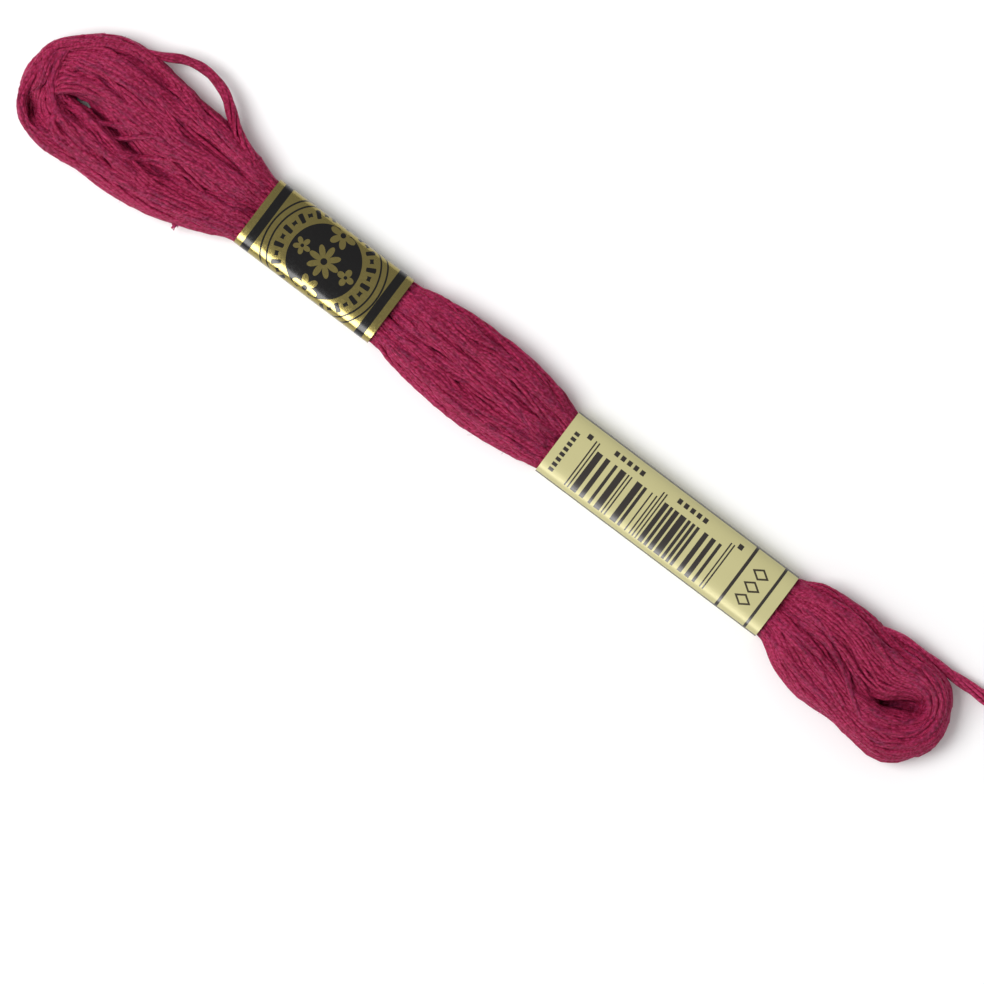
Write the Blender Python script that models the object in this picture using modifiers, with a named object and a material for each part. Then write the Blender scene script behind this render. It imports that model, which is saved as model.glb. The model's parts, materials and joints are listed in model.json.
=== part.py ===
"""A skein of embroidery floss: one long oblong winding, pinched by two paper bands, with one loose end.

Run with: blender --background --python part.py, or from Blender's text editor.
Metres, +Z up. The skein lies on the plane z = 0. +X runs along it to its narrow end, +Y runs across it,
and the origin is under the middle of the winding. The tables below are in millimetres.
"""

import math
from collections import namedtuple

import bmesh
import bpy
import numpy as np
from mathutils import Vector

MM = 0.001

# The winding is one loop pressed flat: an upper leg and a lower leg that meet along a groove, and an
# eye at each end where the turns come round. A row tells where the loop's two outer edges and that
# groove are at one place along the skein, how wide the loop stands open there, and from which height
# to which it reaches. Where it rests, low is under 0, because its own weight flattens it there.
Section = namedtuple("Section", "x upper meet lower open top low")
SECTIONS = [
    Section(-74.5, 7.9, -3.3, -11.9, 0.25, 6.3, -0.4),
    Section(-72.4, 8.6, -2.8, -11.9, 0.45, 6.6, -0.4),
    Section(-70.2, 9.1, -3.0, -11.7, 0.30, 6.9, -0.5),
    Section(-67.0, 9.1, -3.4, -11.4, 0.18, 7.0, -0.5),
    Section(-63.0, 8.5, -3.9, -11.4, 0.18, 7.1, -0.5),
    Section(-58.0, 7.8, -4.1, -10.9, 0.18, 7.0, -0.5),
    Section(-53.0, 7.5, -3.6, -9.7, 0.18, 6.8, -0.5),
    Section(-48.0, 6.4, -2.3, -8.0, 0.18, 6.4, -0.4),
    Section(-44.6, 5.4, -0.9, -6.5, 0.18, 5.9, -0.1),
    Section(-43.5, 4.7, -0.4, -5.4, 0.18, 5.0, 0.7),
    Section(-17.8, 4.7, -0.4, -5.4, 0.18, 5.0, 0.7),
    Section(-16.7, 5.5, -0.4, -5.9, 0.18, 5.9, -0.1),
    Section(-12.9, 6.2, -0.6, -6.8, 0.18, 6.6, -0.4),
    Section(-8.0, 6.8, -0.9, -7.3, 0.18, 6.9, -0.5),
    Section(-3.0, 7.0, -1.2, -7.7, 0.18, 7.0, -0.5),
    Section(1.9, 6.7, -1.3, -7.5, 0.18, 6.9, -0.5),
    Section(6.8, 5.9, -1.2, -6.8, 0.18, 6.5, -0.4),
    Section(10.4, 5.0, -1.0, -6.2, 0.18, 5.9, -0.1),
    Section(11.5, 3.9, -0.8, -5.5, 0.18, 4.8, 0.7),
    Section(52.1, 3.9, -0.8, -5.5, 0.18, 4.8, 0.7),
    Section(53.2, 5.2, -0.9, -6.5, 0.18, 5.7, -0.1),
    Section(55.0, 6.0, -0.9, -7.5, 0.18, 6.3, -0.4),
    Section(58.2, 6.4, -0.9, -8.8, 0.18, 6.8, -0.5),
    Section(62.0, 6.5, -1.2, -9.6, 0.18, 7.0, -0.5),
    Section(66.0, 6.2, -2.4, -9.3, 0.18, 7.0, -0.5),
    Section(69.3, 5.4, -3.1, -9.5, 0.18, 6.9, -0.5),
    Section(72.0, 5.4, -3.0, -9.8, 0.18, 6.8, -0.5),
    Section(73.6, 5.4, -1.8, -10.0, 0.65, 6.7, -0.4),
    Section(75.2, 5.4, -0.5, -10.1, 0.60, 6.5, -0.4),
]
STEP = 3.3  # longest step between two sections where the winding shows
HIDDEN_STEP = 7.0  # and inside a paper band

# Round each end the sections turn like spokes about the end of the eye. A row gives a spoke's angle
# from +X and how far the winding reaches along it.
Spoke = namedtuple("Spoke", "angle reach")
RIGHT_SPOKES = [
    Spoke(90, 5.9), Spoke(60, 6.5), Spoke(30, 6.4), Spoke(0, 6.85),
    Spoke(-30, 7.6), Spoke(-60, 8.2), Spoke(-90, 9.6),
]  # fmt: skip
LEFT_SPOKES = [
    Spoke(-90, 8.4), Spoke(-120, 8.05), Spoke(-150, 7.5), Spoke(-180, 7.6),
    Spoke(-195, 7.8), Spoke(-210, 8.4), Spoke(-240, 8.5), Spoke(-255, 9.7), Spoke(-270, 11.4),
]  # fmt: skip
SPOKE_STEP = 12
TIP_DROP = 0.8  # the turns stand this much lower at the far tip of each end

# The bundles of turns show as rounded ridges with grooves between them, which drift round the winding.
RIDGES = 12
POINTS_A_RIDGE = 3
GROOVE_DEPTH = 0.65
GROOVE_RISE = 0.4  # how fast a groove deepens away from the slit between the legs
LOWEST_GROOVE = -0.8  # as a share of the half height: below it the ridges are pressed flat
OVAL_SAMPLES = 120
SQUARENESS = 2.5  # 2 is an ellipse, more is squarer
PRESSED_SQUARENESS = 5.0  # of the sides that the two legs press together
DRIFTS = [(0.050, 3, 0.4), (0.026, 7, 2.1)]  # share of a turn, waves round the loop, phase in radians

# Between these places the two legs are pressed into one.
FUSED_FROM, FUSED_TO = -67.5, 72.1
FUSED_HALF_WIDTH = 0.9
FUSED_BELOW_TOP, FUSED_ABOVE_LOW = 0.7, 1.2

# Turns that stray from the bundles: a floss that stands out as an arch, and bundles that cross over.
# Each is a round cord through its own points, half sunk in the winding at both ends.
Stray = namedtuple("Stray", "name radius points")
STRAYS = [
    Stray("arch", 0.56, [
        (-72.0, 6.6, 3.3), (-69.0, 8.3, 3.4), (-66.9, 9.8, 3.3), (-64.5, 10.9, 3.2), (-62.0, 11.37, 3.1),
        (-59.5, 11.37, 3.1), (-57.3, 10.8, 3.1), (-55.4, 9.9, 3.2), (-53.3, 8.6, 3.4), (-51.0, 7.2, 3.6),
        (-48.0, 5.6, 3.6)]),
    Stray("cross_low", 0.60, [
        (-75.8, -3.4, 4.4), (-73.5, -4.0, 5.5), (-70.8, -4.4, 6.2), (-68.0, -5.0, 6.5), (-65.0, -5.9, 6.0)]),
    Stray("cross_high", 0.55, [
        (-66.0, -4.8, 5.9), (-64.2, -3.9, 6.6), (-62.2, -1.9, 6.8), (-60.4, -0.7, 6.3)]),
    Stray("cross_narrow", 0.60, [
        (56.5, -0.4, 5.2), (59.5, -0.8, 6.3), (62.5, -1.7, 6.6), (65.2, -3.5, 6.6), (68.3, -5.4, 6.4),
        (71.0, -6.3, 5.8)]),
    Stray("rim_wide", 0.75, [
        (-76.0, 4.9, 4.6), (-79.0, 2.3, 5.0), (-80.4, -0.6, 4.9), (-80.6, -4.0, 4.8), (-79.4, -7.6, 4.8),
        (-76.9, -10.1, 4.6)]),
]  # fmt: skip

# A pit at the wide end, where the innermost turns come round below the rim.
PIT_X, PIT_Y = -78.0, -7.6
PIT_LENGTH, PIT_WIDTH, PIT_DEPTH = 2.0, 1.3, 2.6

# The two paper bands: where each starts and ends, the middle of its width, its width and its height.
Band = namedtuple("Band", "name start end middle width height colour roughness metallic")
BANDS = [
    Band("band_foil", -43.1, -18.2, -0.35, 11.45, 6.0, (0.27, 0.22, 0.08), 0.35, 0.6),
    Band("band_cream", 11.9, 51.7, -0.82, 10.8, 5.8, (0.72, 0.67, 0.32), 0.45, 0.0),
]
PAPER = 0.35
BAND_POINTS = 40
BAND_SQUARENESS = 3.4
BAND_SAG = 0.3  # the flat under a band, as a cut this far up its oval

# The loose end of the floss: it leaves the winding beside the eye and comes down to the surface.
LOOSE_RADIUS = 0.70
LOOSE_ROUTE = [
    (69.3, 6.4, 3.4), (72.0, 6.45, 3.2), (75.0, 6.5, 2.8), (78.0, 6.5, 2.3), (80.6, 6.6, 1.8),
    (83.5, 6.8, 1.3), (86.5, 6.95, 0.95), (90.0, 6.8, 0.78), (94.0, 6.2, 0.74), (98.0, 5.2, 0.74),
    (102.0, 4.1, 0.74), (106.0, 3.3, 0.74), (110.0, 2.9, 0.74),
]  # fmt: skip
LOOSE_SPACING = 3.0

RASPBERRY = (0.30, 0.017, 0.072)


def eased(rows, key, value, at):
    """The value at a place between the rows, on a smooth curve that never passes a row's own value."""
    xs = np.array([getattr(r, key) for r in rows], float)
    ys = np.array([getattr(r, value) for r in rows], float)
    if xs[0] > xs[-1]:
        xs, ys = xs[::-1], ys[::-1]
    widths = np.diff(xs)
    slopes = np.diff(ys) / widths
    tangents = np.zeros(len(xs))
    for k in range(1, len(xs) - 1):
        if slopes[k - 1] * slopes[k] > 0:
            tangents[k] = 2 * slopes[k - 1] * slopes[k] / (slopes[k - 1] + slopes[k])
    k = int(np.clip(np.searchsorted(xs, at) - 1, 0, len(widths) - 1))
    t = (at - xs[k]) / widths[k]
    return (
        ys[k] * (1 + 2 * t) * (1 - t) ** 2
        + ys[k + 1] * t * t * (3 - 2 * t)
        + widths[k] * (tangents[k] * t * (1 - t) ** 2 - tangents[k + 1] * t * t * (1 - t))
    )


def signed_power(value, power):
    return math.copysign(abs(value) ** power, value)


def smooth_route(points, spacing):
    """Points at even distances along the smooth curve through the given ones."""
    p = [np.array(q, float) for q in points]
    p = [2 * p[0] - p[1], *p, 2 * p[-1] - p[-2]]
    dense = []
    for a, b, c, d in zip(p, p[1:], p[2:], p[3:]):
        for t in np.linspace(0, 1, 20, endpoint=False):
            dense.append(0.5 * (2 * b + (c - a) * t + (2 * a - 5 * b + 4 * c - d) * t**2
                                + (3 * b - a - 3 * c + d) * t**3))  # fmt: skip
    dense = np.array([*dense, p[-2]])
    run = np.concatenate([[0], np.cumsum(np.linalg.norm(np.diff(dense, axis=0), axis=1))])
    count = max(2, round(run[-1] / spacing) + 1)
    return [[float(np.interp(s, run, dense[:, k])) for k in range(3)] for s in np.linspace(0, run[-1], count)]


def clear_scene():
    for ob in list(bpy.data.objects):
        bpy.data.objects.remove(ob, do_unlink=True)


def collection(name):
    found = bpy.data.collections.new(name)
    bpy.context.scene.collection.children.link(found)
    return found


def material(name, colour, roughness, metallic=0.0):
    made = bpy.data.materials.new(name)
    made.use_nodes = True
    shader = made.node_tree.nodes["Principled BSDF"]
    shader.inputs["Base Color"].default_value = (*colour, 1)
    shader.inputs["Roughness"].default_value = roughness
    shader.inputs["Metallic"].default_value = metallic
    return made


def mesh_object(name, bm, into, finish=None):
    bmesh.ops.recalc_face_normals(bm, faces=bm.faces)
    mesh = bpy.data.meshes.new(name)
    bm.to_mesh(mesh)
    bm.free()
    ob = bpy.data.objects.new(name, mesh)
    into.objects.link(ob)
    if finish:
        mesh.materials.append(finish)
    mesh.shade_smooth()
    return ob


def loft(rings, closed):
    """A skin over rings that all have the same number of points. An open one gets a cap at each end."""
    bm = bmesh.new()
    loops = [[bm.verts.new([c * MM for c in point]) for point in ring] for ring in rings]
    count = len(loops[0])
    pairs = list(zip(loops, loops[1:]))
    if closed:
        pairs.append((loops[-1], loops[0]))
    for a, b in pairs:
        for k in range(count):
            n = (k + 1) % count
            bm.faces.new((a[k], a[n], b[n], b[k]))
    if not closed:
        bm.faces.new(loops[0])
        bm.faces.new(loops[-1])
    return bm


def places_along():
    """Where the sections of the two legs lie, in even steps from one row of the table to the next."""
    xs = []
    for a, b in zip(SECTIONS, SECTIONS[1:]):
        middle = (a.x + b.x) / 2
        hidden = any(band.start < middle < band.end for band in BANDS)
        count = math.ceil((b.x - a.x) / (HIDDEN_STEP if hidden else STEP))
        xs += [a.x + (b.x - a.x) * k / count for k in range(count)]
    return [*xs, SECTIONS[-1].x]


Station = namedtuple("Station", "inner outer top low pressed")


def leg_station(x, side):
    """A section of the upper leg, where side is 1, or of the lower leg, where it is -1."""
    meet, gap = (eased(SECTIONS, "x", key, x) for key in ("meet", "open"))
    edge = eased(SECTIONS, "x", "upper" if side > 0 else "lower", x)
    top, low = (eased(SECTIONS, "x", key, x) for key in ("top", "low"))
    return Station((x, meet + side * gap), (x, edge), top, low, FUSED_FROM < x < FUSED_TO)


def spoke_stations(section, spokes):
    """The sections round one end, without the two that the legs already have."""
    stations = []
    first, last = spokes[0].angle, spokes[-1].angle
    for angle in range(first - SPOKE_STEP, last, -SPOKE_STEP):
        reach = eased(spokes, "angle", "reach", angle)
        way = math.cos(math.radians(angle)), math.sin(math.radians(angle))
        inner, outer = ((section.x + r * way[0], section.meet + r * way[1]) for r in (section.open, reach))
        drop = TIP_DROP * abs(way[0])
        stations.append(Station(inner, outer, section.top - drop, section.low, False))
    return stations


def loop_stations():
    xs = places_along()
    return [
        *(leg_station(x, 1) for x in xs),
        *spoke_stations(SECTIONS[-1], RIGHT_SPOKES),
        *(leg_station(x, -1) for x in reversed(xs)),
        *spoke_stations(SECTIONS[0], LEFT_SPOKES),
    ]


def oval(half_width, half_height, squares):
    """Points round a squarish oval, with its own squareness on the outer side and on the inner one."""
    points = []
    for angle in np.linspace(0, 2 * math.pi, OVAL_SAMPLES + 1):
        power = 2 / squares[math.cos(angle) < 0]
        across = half_width * signed_power(math.cos(angle), power)
        points.append((across, half_height * signed_power(math.sin(angle), power)))
    return np.array(points)


def ridged_ring(station, drift):
    """One section of the winding: evenly spaced points round an oval, with a groove at every ridge's start."""
    inner, outer = np.array(station.inner), np.array(station.outer)
    middle, half = (station.top + station.low) / 2, (station.top - station.low) / 2
    width = np.linalg.norm(outer - inner)
    squares = SQUARENESS, PRESSED_SQUARENESS if station.pressed else SQUARENESS
    outline = oval(width / 2, half, squares)
    run = np.concatenate([[0], np.cumsum(np.linalg.norm(np.diff(outline, axis=0), axis=1))])
    ring = []
    for k in range(RIDGES * POINTS_A_RIDGE):
        way = run[-1] * ((k / (RIDGES * POINTS_A_RIDGE) + drift) % 1)
        across, up = (float(np.interp(way, run, outline[:, n])) for n in (0, 1))
        if k % POINTS_A_RIDGE == 0 and up > LOWEST_GROOVE * half:
            from_slit = across + width / 2
            shrink = 1 - min(GROOVE_DEPTH, GROOVE_RISE * from_slit) / math.hypot(across, up)
            across, up = across * shrink, up * shrink
        spot = inner + (outer - inner) * (0.5 + across / width)
        ring.append((spot[0], spot[1], max(0.0, middle + up)))
    return ring


def winding(into, finish):
    stations = loop_stations()
    rings = []
    for k, station in enumerate(stations):
        turn = 2 * math.pi * k / len(stations)
        drift = sum(size * math.sin(waves * turn + phase) for size, waves, phase in DRIFTS)
        rings.append(ridged_ring(station, drift))
    return mesh_object("floss_hank", loft(rings, closed=True), into, finish)


def fused_core(into):
    """What fills the slit between the two legs where they are pressed together."""
    rings = []
    for x in places_along():
        if FUSED_FROM <= x <= FUSED_TO:
            meet, top, low = (eased(SECTIONS, "x", key, x) for key in ("meet", "top", "low"))
            high, deep = top - FUSED_BELOW_TOP, max(0.0, low) + FUSED_ABOVE_LOW
            left, right = meet - FUSED_HALF_WIDTH, meet + FUSED_HALF_WIDTH
            rings.append([(x, left, deep), (x, right, deep), (x, right, high), (x, left, high)])
    return mesh_object("core", loft(rings, closed=False), into)


def round_cord(name, points, radius, spacing, sides_resolution=2):
    """A curve object: a round cord with closed ends, along the smooth curve through the points."""
    route = smooth_route(points, spacing)
    curve = bpy.data.curves.new(name, "CURVE")
    curve.dimensions = "3D"
    curve.bevel_depth = radius * MM
    curve.bevel_resolution = sides_resolution
    curve.use_fill_caps = True
    spline = curve.splines.new("POLY")
    spline.points.add(len(route) - 1)
    for point, place in zip(spline.points, route):
        point.co = (*(c * MM for c in place), 1)
    return bpy.data.objects.new(name, curve)


def as_mesh(ob, into):
    """The curve object as a closed mesh, so that it can be joined to another."""
    bpy.context.scene.collection.objects.link(ob)
    bpy.context.view_layer.update()
    seen = ob.evaluated_get(bpy.context.evaluated_depsgraph_get())
    mesh = bpy.data.meshes.new_from_object(seen)
    bm = bmesh.new()
    bm.from_mesh(mesh)
    bmesh.ops.remove_doubles(bm, verts=bm.verts, dist=0.00001)
    made = mesh_object(ob.name + "_mesh", bm, into)
    made.matrix_world = ob.matrix_world
    bpy.data.meshes.remove(mesh)
    bpy.data.objects.remove(ob, do_unlink=True)
    return made


def pit_cutter(into):
    """An oval cone, point down, that opens the pit."""
    top = SECTIONS[0].top + 1.0
    bm = bmesh.new()
    bmesh.ops.create_cone(bm, cap_ends=True, segments=16, radius1=0.25, radius2=1.0, depth=1.0)
    for vert in bm.verts:
        x, y, z = vert.co
        vert.co = Vector((x * PIT_LENGTH, y * PIT_WIDTH, (z + 0.5) * (PIT_DEPTH + 1.0)))
        vert.co += Vector((PIT_X, PIT_Y, top - PIT_DEPTH - 1.0))
        vert.co *= MM
    return mesh_object("pit", bm, into)


def joined(target, tool, operation):
    tool.hide_render = True
    tool.display_type = "WIRE"
    change = target.modifiers.new(tool.name, "BOOLEAN")
    change.operation = operation
    change.solver = "EXACT"
    change.object = tool


def paper_band(band, into):
    """An open sleeve of paper, pressed to an oval with a flat under it, then given its thickness."""
    finish = material("printed_paper_" + band.name, band.colour, band.roughness, band.metallic)
    bm = bmesh.new()
    loops = []
    for x in (band.start, band.end):
        loop = []
        for k in range(BAND_POINTS):
            angle = 2 * math.pi * k / BAND_POINTS
            y = band.middle + band.width / 2 * signed_power(math.cos(angle), 2 / BAND_SQUARENESS)
            half = (band.height + BAND_SAG) / 2
            z = half - BAND_SAG + half * signed_power(math.sin(angle), 2 / BAND_SQUARENESS)
            loop.append(bm.verts.new((x * MM, y * MM, max(0.0, z) * MM)))
        loops.append(loop)
    for k in range(BAND_POINTS):
        n = (k + 1) % BAND_POINTS
        bm.faces.new((loops[0][k], loops[0][n], loops[1][n], loops[1][k]))
    ob = mesh_object(band.name, bm, into, finish)
    wall = ob.modifiers.new("paper", "SOLIDIFY")
    wall.thickness = PAPER * MM
    wall.offset = -1
    wall.use_even_offset = True
    return ob


def loose_end(into, finish):
    ob = round_cord("loose_end", LOOSE_ROUTE, LOOSE_RADIUS, LOOSE_SPACING)
    into.objects.link(ob)
    ob.data.materials.append(finish)
    return ob


def build():
    clear_scene()
    parts = collection("floss_skein")
    helpers = collection("cutters")
    floss = material("mercerised_cotton_floss", RASPBERRY, 0.55)
    hank = winding(parts, floss)
    joined(hank, fused_core(helpers), "UNION")
    for stray in STRAYS:
        cord = round_cord(stray.name, stray.points, stray.radius, 2.0 * stray.radius + 0.6)
        joined(hank, as_mesh(cord, helpers), "UNION")
    joined(hank, pit_cutter(helpers), "DIFFERENCE")
    for band in BANDS:
        paper_band(band, parts)
    loose_end(parts, floss)


build()
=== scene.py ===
# %% [markdown]
# # A skein of embroidery floss
#
# A skein is one long floss, wound round and round into an oblong loop and held by two paper bands. The floss
# itself is six loosely twisted strands of mercerised cotton. We follow the maker: six strands run through
# twenty-five turns, they are pressed together as the bands press them, and the bands go round them. The
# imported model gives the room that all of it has. Lengths in the tables below are millimetres.

import json
import math
from collections import namedtuple

import bmesh
import bpy
import numpy as np
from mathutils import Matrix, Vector

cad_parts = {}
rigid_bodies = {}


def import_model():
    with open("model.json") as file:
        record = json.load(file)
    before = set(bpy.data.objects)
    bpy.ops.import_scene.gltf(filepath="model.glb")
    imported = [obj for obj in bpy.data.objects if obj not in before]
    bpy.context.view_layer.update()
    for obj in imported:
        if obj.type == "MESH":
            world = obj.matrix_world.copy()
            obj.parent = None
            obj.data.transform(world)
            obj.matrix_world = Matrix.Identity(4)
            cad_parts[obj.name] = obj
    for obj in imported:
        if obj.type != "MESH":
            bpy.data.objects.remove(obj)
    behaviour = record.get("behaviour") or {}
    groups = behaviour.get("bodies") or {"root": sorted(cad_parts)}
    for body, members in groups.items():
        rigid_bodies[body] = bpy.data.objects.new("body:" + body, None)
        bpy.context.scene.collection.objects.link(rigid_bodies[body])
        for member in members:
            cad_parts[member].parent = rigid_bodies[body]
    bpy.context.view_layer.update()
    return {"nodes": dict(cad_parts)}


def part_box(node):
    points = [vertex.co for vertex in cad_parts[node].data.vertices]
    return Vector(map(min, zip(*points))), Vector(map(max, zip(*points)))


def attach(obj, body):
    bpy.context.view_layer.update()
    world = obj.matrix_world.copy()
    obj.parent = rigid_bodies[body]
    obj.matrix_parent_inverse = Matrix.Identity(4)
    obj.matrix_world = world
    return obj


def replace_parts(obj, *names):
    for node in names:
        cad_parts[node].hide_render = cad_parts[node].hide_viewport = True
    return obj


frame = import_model()
MM = 0.001
IMAGE = 984  # pixels, both ways
print("nodes:", sorted(frame["nodes"]))

# %% [markdown]
# ## The camera
#
# The photograph looks straight down, with the skein lying across it from the upper left to the lower right.
# A long lens from high above keeps the two ends at one scale, as a flatbed view does.

# %% The camera
SKEIN_SLOPE = math.radians(37)  # how far the skein is turned down from the picture's horizontal
VIEW_CENTRE = (8.8, -12.4)
VIEW_WIDTH = 142.6
CAMERA_HEIGHT = 1500
SENSOR = 36  # mm across, as on Blender's own camera

camera_data = bpy.data.cameras.new("camera")
camera_data.sensor_width = SENSOR
camera_data.lens = SENSOR * CAMERA_HEIGHT / VIEW_WIDTH
camera = bpy.data.objects.new("camera", camera_data)
camera.location = (VIEW_CENTRE[0] * MM, VIEW_CENTRE[1] * MM, CAMERA_HEIGHT * MM)
camera.rotation_euler = (0, 0, SKEIN_SLOPE)
bpy.context.scene.collection.objects.link(camera)
bpy.context.scene.camera = camera
bpy.context.scene.view_settings.view_transform = "Standard"
print(f"one pixel is {VIEW_WIDTH / IMAGE:.3f} mm")

# %% [markdown]
# ## A strand, as a tube
#
# On the skein a strand is a soft, round thread. It could be a mesh made ring by ring, or a curve with a round
# bevel, turned into a mesh. We take the curve, Blender's own way to make a thread, because it turns its ring
# along the line without a twist of its own. The curve also lays out a UV map: from end to end across, and
# round the thread upwards. We stretch the first to millimetres, so that the twist of the yarn has one pitch
# on every piece, and start each thread at a twist of its own.

# %% Even steps along a smooth route
FINE_STEPS = 20  # between two given points, before the line is divided evenly


def smooth_route(points, spacing):
    """Points at even distances along the smooth curve that passes through all the given ones."""
    p = np.array(points, float)
    p = np.vstack([2 * p[0] - p[1], p, 2 * p[-1] - p[-2]])
    t = np.linspace(0, 1, FINE_STEPS, endpoint=False)[:, None]
    dense = [
        0.5 * (2 * b + (c - a) * t + (2 * a - 5 * b + 4 * c - d) * t**2 + (3 * b - a - 3 * c + d) * t**3)
        for a, b, c, d in zip(p, p[1:], p[2:], p[3:])
    ]
    dense = np.vstack([*dense, p[-2:-1]])
    run = np.concatenate([[0], np.cumsum(np.linalg.norm(np.diff(dense, axis=0), axis=1))])
    count = max(2, round(run[-1] / spacing) + 1)
    even = np.linspace(0, run[-1], count)
    return np.stack([np.interp(even, run, dense[:, k]) for k in range(dense.shape[1])], axis=1)


def length_of(line):
    """How long a row of points is."""
    return float(np.linalg.norm(np.diff(line, axis=0), axis=1).sum())


sample = smooth_route([(0, 0, 0), (5, 3, 0), (10, 0, 0)], 1.0)
print(f"a bend over 10 mm: {len(sample)} points, {length_of(sample):.1f} mm")

# %% A thread is a curve with a round bevel
THREAD = 0.60  # across one strand as it lies, soft, in the skein
SIDES = 6
UNEVEN = 0.07  # yarn is a little thicker here and thinner there, by this share
THREE_DRAWS = 1.7  # three neighbouring random draws, added up, vary this much more than one


def thread_curve(name, lines, thickness, sides):
    """One curve with a spline along each line, whose bevel is as thick as the thread."""
    random = np.random.default_rng(len(lines))
    curve = bpy.data.curves.new(name, "CURVE")
    curve.dimensions = "3D"
    curve.bevel_depth = thickness / 2 * MM
    curve.bevel_resolution = sides // 2 - 2
    curve.use_fill_caps = True
    for line in lines:
        spline = curve.splines.new("POLY")
        spline.points.add(len(line) - 1)
        spline.points.foreach_set("co", np.hstack([line * MM, np.ones((len(line), 1))]).ravel())
        noise = random.normal(0, 1, len(line) + 2)
        thicker = (noise[:-2] + noise[1:-1] + noise[2:]) / THREE_DRAWS
        spline.points.foreach_set("radius", 1 + UNEVEN * thicker)
    return curve


print(f"a strand is {THREAD} mm across and has {SIDES} sides")

# %% A UV map in millimetres
START_STEP, START_WITHIN = 7.31, 5.0  # mm: where along the twist each next thread starts


def stretch_uv(mesh, lines, sides):
    """Stretches the curve's UV map, which runs from 0 to 1 along each thread, to millimetres."""
    along = np.empty(len(mesh.loops) * 2, dtype=np.float32)
    corners = np.empty(len(mesh.loops), dtype=np.int32)
    mesh.uv_layers[0].data.foreach_get("uv", along)
    mesh.loops.foreach_get("vertex_index", corners)
    last_corners = np.cumsum([len(line) * sides for line in lines])
    owner = np.minimum(np.searchsorted(last_corners, corners, side="right"), len(lines) - 1)
    lengths = np.array([length_of(line) for line in lines])
    starts = np.arange(len(lines)) * START_STEP % START_WITHIN
    along[0::2] = along[0::2] * lengths[owner] + starts[owner]
    mesh.uv_layers[0].data.foreach_set("uv", along)


print("threads start within", START_WITHIN, "mm of the twist")

# %% Threads become a piece
WELD = 1e-6  # metres: corners nearer than this are one


def as_piece(name, mesh):
    """Puts a mesh into the scene. It rides on the one body."""
    piece = bpy.data.objects.new(name, mesh)
    bpy.context.scene.collection.objects.link(piece)
    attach(piece, "root")
    print(f"{name}: {len(mesh.polygons)} faces")
    return piece


def thread_piece(name, lines, thickness=THREAD, sides=SIDES):
    """One mesh of round threads along the given lines, in millimetres, with closed ends."""
    helper = bpy.data.objects.new(name + "_curve", thread_curve(name, lines, thickness, sides))
    bpy.context.scene.collection.objects.link(helper)
    bpy.context.view_layer.update()
    mesh = bpy.data.meshes.new_from_object(helper.evaluated_get(bpy.context.evaluated_depsgraph_get()))
    bpy.data.objects.remove(helper, do_unlink=True)
    mesh.name = name
    stretch_uv(mesh, lines, sides)
    bm = bmesh.new()
    bm.from_mesh(mesh)
    bmesh.ops.remove_doubles(bm, verts=bm.verts, dist=WELD)
    bmesh.ops.recalc_face_normals(bm, faces=bm.faces)
    bm.to_mesh(mesh)
    bm.free()
    mesh.shade_smooth()
    return as_piece(name, mesh)


print("corners closer than", WELD / MM, "mm are welded")

# %% [markdown]
# ## The loose end
#
# One end of the floss leaves the winding beside the narrow eye and comes down to the surface. It is a free
# cord. A cloth simulation could drop it, but its route is known, so we lay six strands round each other along
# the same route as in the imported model. Where nothing holds them they part a little, so the twist opens
# towards the end.

# %% The route of the loose end
LOOSE_ROUTE = [
    (64.8, 5.2, 4.4), (66.8, 5.9, 4.0), (69.3, 6.4, 3.4), (72.0, 6.45, 3.2), (75.0, 6.5, 2.8),
    (78.0, 6.5, 2.3), (80.6, 6.6, 1.8), (83.5, 6.8, 1.3), (86.5, 6.95, 0.95), (90.0, 6.8, 0.78),
    (94.0, 6.2, 0.74), (98.0, 5.2, 0.74), (102.0, 4.1, 0.74), (106.0, 3.3, 0.74), (110.0, 2.9, 0.74),
]
LOOSE_PITCH = 24
STRANDS = 6
print(f"the loose end leaves the winding {LOOSE_ROUTE[0][2]} mm up and ends {LOOSE_ROUTE[-1][2]} mm up")

# %% Six strands round a route
STRAND_STEP = 0.7
EASING = 0.18  # a strand comes nearer to the route and leaves it again, by this share
EASING_WAVE, EASING_SHIFT = 4.1, 2.3  # mm for each radian of that wave, and radians from strand to strand


def across_and_up(route):
    """Two unit directions at each point of a route: level across it, and upright to it."""
    ahead = np.gradient(route, axis=0)
    ahead /= np.linalg.norm(ahead, axis=1, keepdims=True)
    across = np.cross([0, 0, 1], ahead)
    across /= np.linalg.norm(across, axis=1, keepdims=True)
    return across, np.cross(ahead, across)


def laid_strands(route, pitch, spread, flatness):
    """Six strands round a route. spread gives their distance from it at even places, in millimetres."""
    line = smooth_route(route, STRAND_STEP)
    across, up = across_and_up(line)
    way = np.linspace(0, length_of(line), len(line))
    wide = np.interp(np.linspace(0, 1, len(line)), np.linspace(0, 1, len(spread)), spread)
    strands = []
    for k in range(STRANDS):
        turn = 2 * math.pi * (way / pitch + k / STRANDS)
        reach = wide * (1 + EASING * np.sin(way / EASING_WAVE + EASING_SHIFT * k))
        side = (reach * np.cos(turn))[:, None] * across
        height = (flatness * reach * np.sin(turn))[:, None] * up
        strand = line + side + height
        strand[:, 2] = np.maximum(strand[:, 2], THREAD / 2)
        strands.append(strand)
    return strands


print("each strand swings out and in every", round(2 * math.pi * EASING_WAVE), "mm")

# %% The loose end itself
LOOSE_SPREAD = [0.34, 0.42, 0.48, 0.66, 0.6, 0.52, 0.5, 0.6]
LOOSE_FLATNESS = 0.75  # it lies on the surface, so it is wider than high

loose_strands = laid_strands(LOOSE_ROUTE, LOOSE_PITCH, LOOSE_SPREAD, LOOSE_FLATNESS)
loose = thread_piece("loose_end_strands", loose_strands)
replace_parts(loose, "loose_end")

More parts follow.
